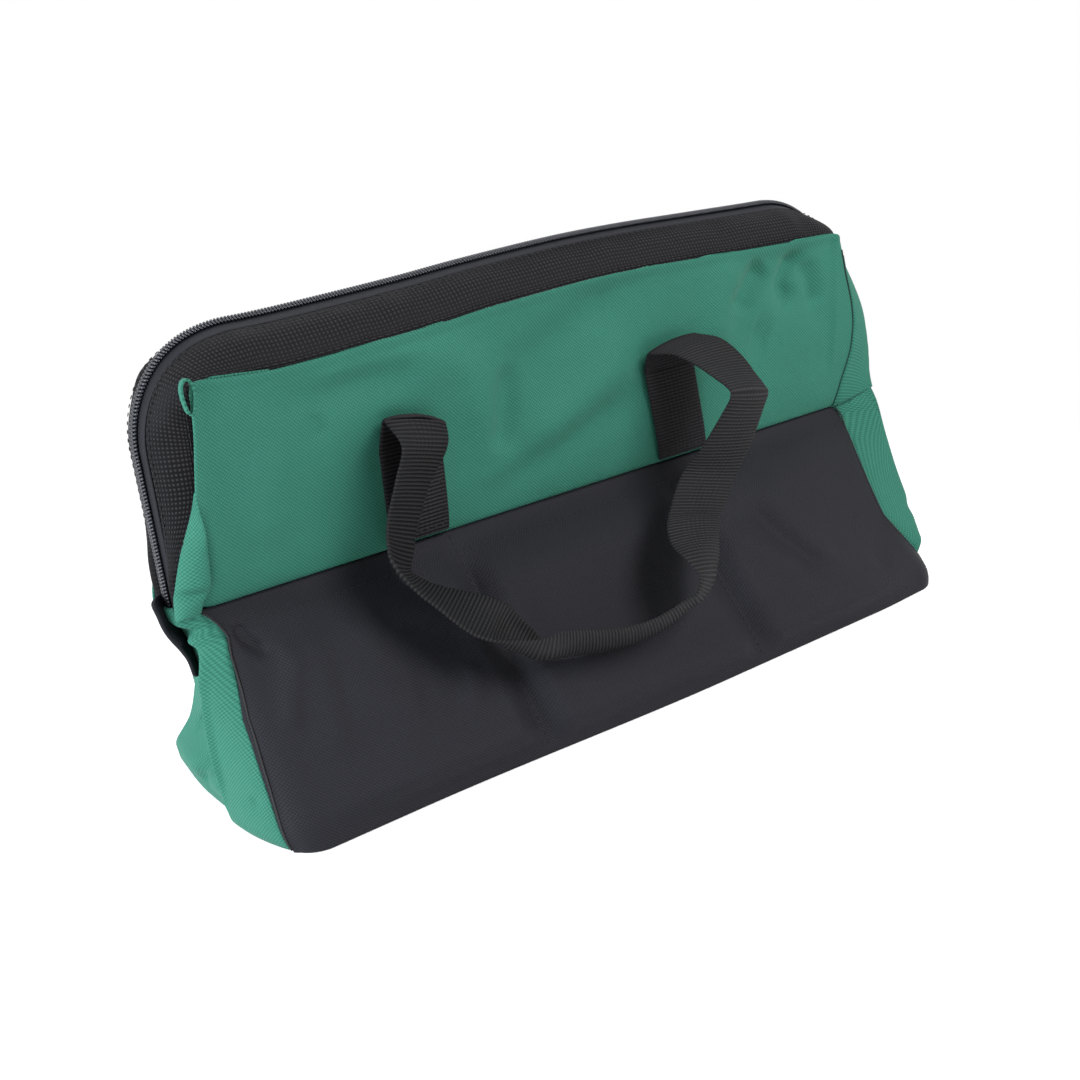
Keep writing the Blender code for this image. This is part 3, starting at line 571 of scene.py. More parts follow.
@dataclass(frozen=True)
class RibbedWebbing(Finish):
    """Heavy polypropylene webbing with ribs across its length."""

    rib: float = 0.0021
    thread: float = 0.0012

    def wire(self, bench: NodeBench) -> None:
        """Wires ribs that are crossed by cords."""
        across, along = bench.pattern()
        ribs = along.wave(self.rib)
        cords = across.wave(self.thread)
        share = ribs**2.2 * (cords * 0.6 + 0.4) + bench.cloud(1100.0, 2.0) * 0.25
        bench.shade(Base_Color=bench.blend(share, self.dark, self.light))
        bench.shade(Roughness=0.62, Specular_IOR_Level=0.15)
        bench.relief(ribs * 0.75 + cords * 0.25, 0.0003, 0.7)


@dataclass(frozen=True)
class MeshWebbing(Finish):
    """Open coarse webbing: rows of raised knots over dark gaps."""

    row: float = 0.0018
    column: float = 0.0023

    def wire(self, bench: NodeBench) -> None:
        """Wires knots where rows and columns meet."""
        across, along = bench.pattern()
        knots = across.wave(self.row) ** 1.2 * along.wave(self.column) ** 1.7
        lit = knots * (bench.cloud(700.0, 2.0) * 0.8 + 0.55)
        bench.shade(Base_Color=bench.blend(lit, self.dark, self.light))
        bench.shade(Roughness=0.6, Specular_IOR_Level=0.12)
        bench.relief(knots, 0.0005, 0.9)


@dataclass(frozen=True)
class ZipTape(Finish):
    """Herringbone zip tape."""

    pitch: float = 0.0009
    zigzag: float = 0.0016

    def wire(self, bench: NodeBench) -> None:
        """Wires lines that run to and fro across the tape."""
        across, along = bench.pattern()
        lines = (along + bench.maths("PINGPONG", across, self.zigzag)).wave(self.pitch)
        bench.shade(Base_Color=bench.blend(lines * 0.7, self.dark, self.light))
        bench.shade(Roughness=0.6, Specular_IOR_Level=0.15)
        bench.relief(lines, 0.0001, 0.5)


@dataclass(frozen=True)
class PlainFinish:
    """A moulded, drawn or spun surface with fine flecks."""

    name: str
    colour: Colour
    roughness: float
    metallic: float = 0.0
    fleck: float = 0.12
    scale: float = 400.0

    def made(self) -> bpy.types.Material:
        """Builds the material."""
        bench = NodeBench(bpy.data.materials.new(self.name))
        flecks = bench.cloud(self.scale)
        lighter = tuple(min(1.0, part * 1.35 + 0.01) for part in self.colour)
        bench.shade(Base_Color=bench.blend(flecks * (self.fleck * 4), self.colour, lighter))
        bench.shade(Roughness=flecks * 0.1 + (self.roughness - 0.05), Metallic=self.metallic)
        bench.relief(flecks, 0.00005, 0.3)
        return bench.holder


class Finishes:
    """Every material of the bag."""

    green: bpy.types.Material
    grey: bpy.types.Material
    webbing: bpy.types.Material
    mesh: bpy.types.Material
    tape: bpy.types.Material
    coil: bpy.types.Material
    thread: bpy.types.Material
    steel: bpy.types.Material
    board: bpy.types.Material
    slider: bpy.types.Material

    def __init__(self) -> None:
        """Builds them all."""
        recipes = {
            "green": WovenCloth("green_cloth", (0.008, 0.078, 0.052), (0.058, 0.25, 0.182), 0.68, 0.06),
            "grey": WovenCloth("grey_cloth", (0.005, 0.005, 0.0072), (0.024, 0.0236, 0.03), 0.62, 0.02),
            "webbing": RibbedWebbing("black_webbing", (0.001, 0.001, 0.0012), (0.03, 0.028, 0.031)),
            "mesh": MeshWebbing("mesh_webbing", (0.0012, 0.0012, 0.002), (0.036, 0.034, 0.04)),
            "tape": ZipTape("zip_tape", (0.006, 0.0062, 0.0088), (0.018, 0.019, 0.025)),
            "coil": PlainFinish("zip_nylon", (0.014, 0.015, 0.022), 0.32),
            # This dark colour also paints the seam cords, which stand for bindings and for painted shade in
            # the seam gaps.
            "thread": PlainFinish("dark_thread", (0.0016, 0.0016, 0.0022), 0.75, fleck=0.03),
            "steel": PlainFinish("frame_steel", (0.55, 0.55, 0.56), 0.35, 1.0),
            "board": PlainFinish("board_plastic", (0.02, 0.02, 0.02), 0.55),
            "slider": PlainFinish("slider_metal", (0.022, 0.022, 0.026), 0.34, 0.6),
        }
        for name, recipe in recipes.items():
            setattr(self, name, recipe.made())


# The mouth of the bag


@dataclass
class Stations:
    """Places along the front half of the mouth, from the left foot over the top to the right."""

    place: Array
    tape_edge: Array
    sleeve_edge: Array
    along: Array
    run: Array
    middle_height: float = 0.114

    def resampled(self, count: int, low: float = 0.0, high: float = 1.0) -> "Stations":
        """The same line at evenly spaced places.

        Args:
            count: How many places.
            low: Where to start, as a share of the run.
            high: Where to end, as a share of the run.

        Returns:
            The new stations.
        """
        wanted = np.linspace(low, high, count) * self.run[-1]

        def spread(values: Array) -> Array:
            """Interpolates one set of vectors."""
            return np.stack([np.interp(wanted, self.run, column) for column in values.T], 1)

        edges = spread(self.tape_edge), spread(self.sleeve_edge)
        return Stations(spread(self.place), *edges, unit(spread(self.along)), wanted)

    def tape_frame(self) -> Tuple[Array, Array]:
        """Directions across the tape and out from its face."""
        across = unit(self.tape_edge - self.place)
        return across, self._out(across)

    def sleeve_frame(self) -> Tuple[Array, Array]:
        """Directions across the sleeve and out from its face."""
        across = unit(self.sleeve_edge - self.tape_edge)
        return across, self._out(across)

    def _out(self, across: Array) -> Array:
        """Outward normals for directions across the band."""
        out = unit(np.cross(across, self.along))
        towards = self.place * (1.0, 0.0, 1.0) - (0.0, 0.0, self.middle_height)
        flip = np.sign((out * towards).sum(1, keepdims=True))
        return out * np.where(flip == 0, 1, flip)


@dataclass
class MouthShape:
    """The line of the zip and the edges of its tape and of the sleeve."""

    foot: float = 0.112
    reach: float = 0.2365
    crown: float = 0.2472
    corner: float = 0.057
    split: float = 0.0006
    tape_reach: float = 0.2364
    tape_crown: float = 0.2445
    tape_depth: float = 0.01
    tape_depth_foot: float = 0.0078
    sleeve_reach: float = 0.217
    sleeve_reach_foot: float = 0.2355
    sleeve_crown: float = 0.2243
    sleeve_depth: float = 0.0283
    sleeve_depth_foot: float = 0.0154
    squareness: float = 8.0
    turn_low: float = 0.125
    turn_high: float = 0.175
    seam: float = 0.11
    seam_depth: float = 0.01

    top_wave: Table = (
        (-0.26, -0.222, -0.19, -0.165, -0.126, -0.083, -0.041, 0.019, 0.067, 0.118, 0.17, 0.205, 0.26),
        (0.0, 0.0, -0.0027, -0.0032, -0.0021, -0.0004, 0.002, 0.0041, 0.0039, 0.0023, 0.0006, 0.0, 0.0),
    )
    wave_low: float = 0.15
    wave_run: float = 0.075
    slide: float = 0.9
    slide_depth: float = 0.008
    slide_run: float = 0.01

    def waved(self, points: Array) -> Array:
        """Lets the slack cloth rise and sag along the top, sliding over the frame's rod."""
        x, y, z = points.T
        rise = tabled(self.top_wave, x) * ramp(z, self.wave_low, self.wave_run)
        back = self.slide * rise * ramp(np.abs(y), self.slide_depth, self.slide_run)
        return xyz(x, y - np.sign(y) * back, z + rise)

    def onto(self, points: Array, side: Side) -> Array:
        """Waves points of the front half and moves them onto the given half."""
        return self.waved(points) * (1.0, -side.value, 1.0)

    def edge_depth(self, height: Array) -> Array:
        """How far forward the sleeve's lower edge stands at that height."""
        share = np.clip((height - self.seam) / (self.sleeve_crown - self.seam), 0, None)
        return mix(self.seam_depth, self.sleeve_depth, share**0.45)

    def leg(self, height: Array) -> Tuple[Array, Array, Array, Array]:
        """The upright left arm: zip line, tape edge, sleeve edge and direction at those heights."""
        turn = ramp(height, self.turn_low, self.turn_high - self.turn_low)
        share = ramp(height, self.foot, self.turn_high - self.foot)
        reach = mix(self.sleeve_reach_foot, self.sleeve_reach, turn)
        depth = mix(self.sleeve_depth_foot, self.edge_depth(height), share)
        tape = mix(self.tape_depth_foot, self.tape_depth, share)
        return (
            xyz(-self.reach, -self.split, height),
            xyz(-self.tape_reach, -tape, height),
            xyz(-reach, -depth, height),
            xyz(0 * height, 0.0, 1.0),
        )

    def bend(self, turn: Array) -> Tuple[Array, Array, Array, Array]:
        """The left corner, for turns from 0 on the arm to a quarter at the top."""
        middle = np.array([self.corner - self.reach, 0, self.crown - self.corner])
        outward = xyz(-np.cos(turn), 0.0, np.sin(turn))
        place = middle + outward * self.corner
        place[:, 1] = -self.split
        reach = mix(self.tape_reach + middle[0], self.tape_crown - middle[2], np.sin(turn) ** 2)
        tape = middle + outward * reach[:, None]
        tape[:, 1] = -self.tape_depth
        side = np.cos(turn) / (self.sleeve_reach + middle[0])
        top = np.sin(turn) / (self.sleeve_crown - middle[2])
        radius = (side**self.squareness + top**self.squareness) ** (-1 / self.squareness)
        sleeve = middle + outward * radius[:, None]
        sleeve[:, 1] = -self.edge_depth(sleeve[:, 2])
        return place, tape, sleeve, xyz(np.sin(turn), 0.0, np.cos(turn))

    def stations(self) -> Stations:
        """The whole line, finely sampled."""
        leg_top = self.crown - self.corner
        legs = self.leg(np.linspace(self.foot, leg_top, 60, endpoint=False))
        bends = self.bend(np.linspace(0, math.pi / 2, 60))
        left = self.corner - self.reach
        x = np.linspace(left, 0, 60)[1:]
        tops = (
            xyz(x, -self.split, self.crown),
            xyz(x, -self.tape_depth, self.tape_crown),
            xyz(x, -self.sleeve_depth, self.sleeve_crown),
            xyz(1.0, 0 * x, 0.0),
        )
        mirrors = [(-1.0, 1.0, 1.0)] * 3 + [(1.0, 1.0, -1.0)]
        whole = []
        for parts, mirror in zip(zip(legs, bends, tops), mirrors):
            half = np.vstack(parts)
            whole.append(np.vstack([half, half[-2::-1] * mirror]))
        return Stations(*whole, distances(whole[0]))


@dataclass
class Mouth:
    """Sleeves, tapes and coils of both halves."""

    shape: MouthShape
    finishes: Finishes
    rows: int = 420
    rear_share: float = 0.965
    sleeve_bulge: float = 0.0034
    sleeve_edge: float = 0.0007
    sleeve_gap: float = 0.0002
    dent: float = 0.0009
    tape_thickness: float = 0.0009
    tape_tuck: float = 0.001
    coil_pitch: float = 0.0018
    coil_width: float = 0.0036
    coil_height: float = 0.0013
    coil_inset: float = 0.0011
    coil_lift: float = 0.0015
    turn_rows: int = 10
    wire: float = 0.00066

    def build(self) -> None:
        """Builds both halves; the rear tape and coil end short of the slider."""
        line = self.shape.stations()
        for side in Side:
            share = 1.0 if side is Side.FRONT else self.rear_share
            self.sleeve(side, line)
            self.tape(side, line, share)
            self.coil(side, line, share)

    def sleeve(self, side: Side, line: Stations) -> None:
        """The mesh webbing folded round the frame's rod.

        Args:
            side: Which half.
            line: The mouth's line.
        """
        stations = line.resampled(self.rows + 1)
        rail = Rail((stations.sleeve_edge + stations.tape_edge) / 2, *stations.sleeve_frame())
        half = np.linalg.norm(stations.sleeve_edge - stations.tape_edge, axis=1) / 2 - self.sleeve_gap
        dents = Unevenness(7 + side.value, (0.014, 0.03))

        def section(row: Array, turn: Array) -> Tuple[Array, Array]:
            """Across the sleeve and out from its face."""
            reach, lift = np.cos(turn), np.sin(turn)
            bulge = mix(self.sleeve_edge, self.sleeve_bulge, 1 - np.abs(reach) ** 2.2)
            height = np.sign(lift) * bulge * np.minimum(np.abs(lift) * 1.6, 1.0)
            relief = dents.at(stations.run[row], reach * half[row]) * self.dent * (1 - reach**2)
            return reach * half[row], height + np.where(lift > 0, relief, 0)

        flat = (0.064, float(stations.run[-1]))
        piece = rail.swept(f"{side.word}_mesh_sleeve", 28, section, flat, partial(self.shape.onto, side=side))
        dress(piece, self.finishes.mesh, "black_webbing", f"{side.word}_frame", f"{side.word}_frame_sleeve")

    def tape(self, side: Side, line: Stations, share: float) -> None:
        """The zip's tape.

        Args:
            side: Which half.
            line: The mouth's line.
            share: How much of the line it follows.
        """
        stations = line.resampled(self.rows + 1, 0.0, share)
        rail = Rail(stations.place, *stations.tape_frame())
        width = np.linalg.norm(stations.tape_edge - stations.place, axis=1) + self.tape_tuck

        def section(row: Array, turn: Array) -> Tuple[Array, Array]:
            """Across the tape and out from its face."""
            reach = (1 - np.cos(turn)) / 2 * width[row]
            return reach, np.clip(np.sin(turn) * 4, -1, 1) * self.tape_thickness / 2

        flat = (0.02, float(line.run[-1]))
        piece = rail.swept(f"{side.word}_tape", 12, section, flat, partial(self.shape.onto, side=side))
        dress(piece, self.finishes.tape, "black_webbing", f"{side.word}_frame", f"{side.word}_zip_tape")

    def coil(self, side: Side, line: Stations, share: float) -> None:
        """The zip's wound coil.

        Args:
            side: Which half.
            line: The mouth's line.
            share: How much of the line it follows.
        """
        length = float(line.run[-1]) * share
        rows = int(length / self.coil_pitch) * self.turn_rows
        stations = line.resampled(rows + 1, 0.0, share)
        across, out = stations.tape_frame()
        phase = 0.0 if side is Side.FRONT else math.pi
        each = np.arange(rows + 1)
        angle = each * 2 * math.pi / self.turn_rows + phase
        reach = self.coil_width / 2 * (1 - np.cos(angle)) - self.coil_inset
        lift = self.coil_lift + self.coil_height / 2 * np.sin(angle) * (1 + 0.25 * np.cos(angle))
        centre = Rail(stations.place, across, out).at(each, reach, lift)
        rail = Rail.along(centre, out + across * 0.3)
        put = partial(self.shape.onto, side=side)
        piece = rail.swept(f"{side.word}_coil", 5, ring(self.wire), (0.002, length), put)
        dress(piece, self.finishes.coil, "zip_nylon", f"{side.word}_frame", f"{side.word}_zip_coil")


# The upper body


@dataclass
class UpperBody:
    """The green panel and the two end strips of each half."""

    shape: MouthShape
    finishes: Finishes
    cloth: float = 0.0012
    foot: float = 0.1095
    dish: float = 0.005
    cover: float = 0.0019
    cover_high: float = 0.214
    hem: float = 0.005
    hem_shares: Tuple[float, ...] = (1 / 10, 1 / 14, 1 / 12)
    crease: float = 0.0032
    crease_high: float = 0.166
    broad_relief: float = 0.001
    fine_relief: float = 0.0003
    lip: float = 0.0013
    lip_low: float = 0.219
    lip_run: float = 0.004
    ear_high: float = 0.226
    ear_low: float = 0.2105
    ear_radius: float = 0.0031
    ear_x: float = 0.2183
    ear_width: float = 0.003
    ear_turns: Tuple[float, float] = (-0.55, 1.4)
    corner_squareness: float = 14.0
    left_edge: Table = (
        (0.1095, 0.118, 0.126, 0.15, 0.17, 0.198, 0.214, 0.226),
        (0.2262, 0.2252, 0.2237, 0.2233, 0.2222, 0.2185, 0.2172, 0.218),
    )
    right_edge: Table = (
        (0.1095, 0.115, 0.125, 0.145, 0.16, 0.167, 0.18, 0.2, 0.2205, 0.226),
        (0.223, 0.2236, 0.2258, 0.231, 0.2324, 0.2325, 0.2302, 0.224, 0.219, 0.218),
    )
    strip_low: float = 0.11
    strip_tuck: float = 0.0004
    strip_lift: float = 0.0006
    left_strip_high: float = 0.172
    right_strip_high: float = 0.21
    left_fold: Table = (
        (0.11, 0.12, 0.1285, 0.144, 0.16, 0.172),
        (0.2405, 0.2392, 0.2372, 0.2325, 0.2262, 0.2224),
    )
    left_bulge: float = 0.0054
    pinch_height: float = 0.1195
    lap_depth: float = 0.0046
    lap_high: float = 0.168
    lap: Table = (
        (0.11, 0.116, 0.123, 0.15, 0.165, 0.172),
        (-0.0012, -0.001, 0.002, 0.0017, 0.0004, 0.0),
    )
    right_fold: Table = (
        (0.11, 0.114, 0.126, 0.147, 0.171, 0.19, 0.205, 0.21),
        (0.256, 0.2535, 0.2505, 0.2497, 0.245, 0.237, 0.2285, 0.2245),
    )
    crest_depth: float = 0.02
    crest_rise: float = 0.008
    front_folds: Tuple[Fold, ...] = (
        Fold(((-0.183, 0.213), (-0.152, 0.205), (-0.121, 0.205), (-0.085, 0.202)), 0.0105, -0.0034),
        Fold(((-0.159, 0.219), (-0.118, 0.216), (-0.078, 0.213)), 0.008, 0.0022),
        Fold(((-0.153, 0.197), (-0.154, 0.19), (-0.152, 0.183)), 0.0052, -0.0026),
        Fold(
            ((-0.106, 0.197), (-0.076, 0.205), (-0.058, 0.193), (-0.054, 0.167), (-0.048, 0.14)),
            0.012,
            0.0044,
        ),
        Fold(((-0.031, 0.194), (-0.039, 0.166), (-0.046, 0.144)), 0.0085, -0.005),
        Fold(((-0.034, 0.182), (-0.007, 0.197), (0.018, 0.205), (0.05, 0.216)), 0.0125, -0.0042),
        Fold(((-0.031, 0.141), (0.006, 0.159), (0.043, 0.177), (0.062, 0.188)), 0.0145, 0.0044),
        Fold(((-0.055, 0.124), (0.004, 0.141), (0.04, 0.154), (0.062, 0.162)), 0.01, -0.0032),
        Fold(((0.158, 0.217), (0.142, 0.199), (0.136, 0.186)), 0.01, -0.0068),
        Fold(((0.14, 0.216), (0.122, 0.196), (0.118, 0.17)), 0.012, 0.0034),
        Fold(((0.187, 0.221), (0.174, 0.2), (0.184, 0.186)), 0.008, -0.0072),
        Fold(((0.189, 0.212), (0.197, 0.198), (0.201, 0.18)), 0.007, -0.0052),
        Fold(((0.146, 0.174), (0.162, 0.167)), 0.011, -0.003),
        Fold(((-0.115, 0.176), (-0.136, 0.145), (-0.154, 0.116)), 0.014, -0.0034),
        Fold(((-0.172, 0.19), (-0.185, 0.16), (-0.19, 0.13)), 0.014, 0.0022),
    )
    rear_folds: Tuple[Fold, ...] = (
        Fold(((0.17, 0.214), (0.12, 0.204), (0.06, 0.206)), 0.0085, -0.0028),
        Fold(((0.075, 0.21), (0.055, 0.18), (0.05, 0.14)), 0.0085, 0.003),
        Fold(((0.02, 0.19), (-0.02, 0.16), (-0.07, 0.13)), 0.008, -0.0026),
        Fold(((-0.11, 0.212), (-0.13, 0.18), (-0.15, 0.15)), 0.008, 0.0026),
        Fold(((-0.18, 0.218), (-0.17, 0.195), (-0.195, 0.165)), 0.007, -0.0032),
    )

    def build(self) -> None:
        """Builds both halves."""
        self.ear()
        for side in Side:
            self.panel(side)
            for end in End:
                self.strip(side, end)

    @property
    def top(self) -> float:
        """The height of the panels' top edge, just under the sleeve's crown."""
        return self.shape.sleeve_crown - 0.0002

    def sleeve_half(self, height: Array, squareness: float) -> Array:
        """Half the clear width inside the sleeve at that height, round its upper corners."""
        shape = self.shape
        middle_x, middle_z = shape.reach - shape.corner, shape.crown - shape.corner
        climb = np.clip((height - middle_z) / (self.top - middle_z), 0, 1)
        return middle_x + (shape.sleeve_reach - middle_x) * (1 - climb**squareness) ** (1 / squareness)

    def half_length(self, height: Array, end: Array) -> Array:
        """Half the panel's length towards one end at that height."""
        right, left = tabled(self.right_edge, height), tabled(self.left_edge, height)
        sewn = np.where(np.asarray(end) > 0, right, left)
        corner = self.sleeve_half(height, self.corner_squareness)
        return sewn - (self.shape.sleeve_reach - corner)

    def depth(self, x: Array, height: Array) -> Array:
        """How far forward the panel's face stands."""
        shape = self.shape
        share = np.clip((height - shape.seam) / (shape.sleeve_crown - shape.seam), 0, 1)
        across = 1 - np.minimum((x / self.half_length(height, x)) ** 2, 1)
        over = np.abs(x) - self.sleeve_half(np.minimum(height, self.cover_high), shape.squareness)
        cover = self.cover * ramp(over, -self.hem, self.hem) * ramp(height, shape.turn_low, 0.03)
        from_edge = np.where(x < 0, self.half_length(height, x) + x, 1.0)
        crease = self.crease * np.exp(-((from_edge / self.hem) ** 2)) * ramp(-height, -self.crease_high, 0.03)
        return shape.edge_depth(height) + cover - crease - self.dish * across * np.sin(math.pi * share)

    def face(self, side: Side, x: Array, height: Array) -> Array:
        """Points of a panel's outer face with its folds."""
        folds = self.front_folds if side is Side.FRONT else self.rear_folds
        broad = Unevenness(11 + side.value, (0.06, 0.035))
        fine = Unevenness(23 + side.value, (0.022, 0.016))
        across = np.abs(x) / self.half_length(height, x)
        up = np.clip((height - self.foot) / (self.shape.sleeve_crown - self.foot), 0, 1)
        side_hem, foot_hem, top_hem = self.hem_shares
        inside = ramp(1 - across, 0, side_hem) * ramp(up, 0, foot_hem) * ramp(1 - up, 0, top_hem)
        uneven = broad.at(x, height) * self.broad_relief + fine.at(x, height) * self.fine_relief
        relief = folded(folds, x, height) + uneven
        lip = self.lip * ramp(height, self.lip_low, self.lip_run)
        out = self.depth(x, height) + relief * inside + lip
        return self.shape.waved(xyz(x, side.value * out, height + lip))

    def blended(self, piece: bpy.types.Object, side: Side, depth: float, high: float) -> None:
        """Bakes a sewn-down piece's placement into its mesh."""
        f"{side.word}_frame"
        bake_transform(piece)

    def panel(self, side: Side) -> None:
        """The green panel between the seam and the sleeve."""

        def place(u: Array, v: Array) -> Array:
            """Left to right by u, foot to top by v."""
            height = mix(self.foot, self.top, (1 - np.cos(math.pi * v)) / 2)
            x = (u * 2 - 1) * self.half_length(height, u * 2 - 1)
            return self.face(side, x, height)

        name = f"{side.word}_green_panel"
        piece = grid_piece(name, 300, 100, place, (0.44, 0.118), (0, side.value, 0), self.cloth)
        lay_pattern(piece, 0, 1.02)
        dress(piece, self.finishes.green, "green_cloth", "", f"{side.word}_upper_panel")
        self.blended(piece, side, self.shape.seam_depth, 0.119)

    def ear(self) -> None:
        """The curl of cloth at the front panel's upper left corner."""

        def place(u: Array, v: Array) -> Array:
            """Round the curl by u, from the panel forward by v."""
            turn = mix(*self.ear_turns, u) * math.pi
            height = mix(self.ear_low, self.ear_high, (1 + np.sin(turn)) / 2)
            radius = self.ear_radius * (0.72 + 0.28 * np.sin(turn))
            depth = self.shape.edge_depth(height) + self.cover - self.cloth + self.ear_width * v
            return xyz(-self.ear_x + radius * np.cos(turn), -depth, height)

        piece = grid_piece("front_panel_curl", 28, 20, place, (0.03, 0.004), (-1, 0, 0), self.cloth)
        dress(piece, self.finishes.green, "green_cloth", "front_frame")

    def sleeve_side(self, height: Array) -> Array:
        """The sleeve's edge on the right-hand side at each height, also round its upper corner."""
        shape = self.shape
        _, _, leg, _ = shape.leg(height)
        turns = np.linspace(0, math.pi / 2, 80)
        _, _, bend, _ = shape.bend(turns)
        upper = np.stack([np.interp(height, bend[:, 2], column) for column in bend.T], 1)
        upper[:, 2] = height
        found = np.where((height < shape.crown - shape.corner)[:, None], leg, upper)
        return found * (-1.0, 1.0, 1.0)

    def strip(self, side: Side, end: End) -> None:
        """The strip of green cloth between a panel's edge and the sleeve.

        Args:
            side: Which half.
            end: Which end.
        """
        right = end is End.RIGHT
        high = self.right_strip_high if right else self.left_strip_high

        def place(u: Array, v: Array) -> Array:
            """Panel's edge to sleeve by u, foot to top by v."""
            rise = self.crest_rise * 4 * u * (1 - u) if right else 0.0
            height = mix(self.strip_low + rise, high, v)
            edge = self.half_length(height, end.value)
            inner = xyz(edge - self.strip_tuck, -self.depth(edge * end.value, height), height)
            outer = self.sleeve_side(height)
            if right:
                outer[:, 1] -= self.strip_lift
                crest = xyz(tabled(self.right_fold, height), -self.crest_depth, height)
                point = arched(inner, crest, outer, u)
            else:
                point = self.left_strip(inner, edge, outer, u)
            return point * (end.value, -side.value, 1.0)

        name = f"{side.word}_{end.word}_strip"
        flat = (0.045, 0.1) if right else (0.016, 0.062)
        outward = (end.value * 0.3, side.value, 0)
        piece = grid_piece(name, 24, 70, place, flat, outward, self.cloth)
        dress(piece, self.finishes.green, "green_cloth", "", f"{side.word}_{end.word}_gusset")
        self.blended(piece, side, 0.0, 0.121)

    def left_strip(self, inner: Array, edge: Array, outer: Array, u: Array) -> Array:
        """Points of a left strip, bulging between the panel's edge and a brim beside the sleeve.

        Args:
            inner: Points on the panel's edge.
            edge: Half the panel's length at each of them.
            outer: Points on the sleeve's edge.
            u: How far from the panel to the sleeve each point lies.

        Returns:
            The points.
        """
        height = inner[:, 2]
        inner[:, 0] -= tabled(self.lap, height)
        inner[:, 1] -= self.lap_depth * ramp(-height, -self.lap_high, 0.02)
        brim = xyz(tabled(self.left_fold, height), outer[:, 1] + 0.002, height)
        pinch = np.exp(-(((height - self.pinch_height - 0.004 * u) / 0.0026) ** 2))
        width = np.clip((brim[:, 0] - edge) / 0.014, 0, 1) * (1 - 0.5 * pinch)
        point = mix(inner, brim, ((1 - np.cos(math.pi * u)) / 2)[:, None])
        point[:, 1] -= self.left_bulge * width * np.sin(math.pi * u) ** 0.8
        return point


# The lower body


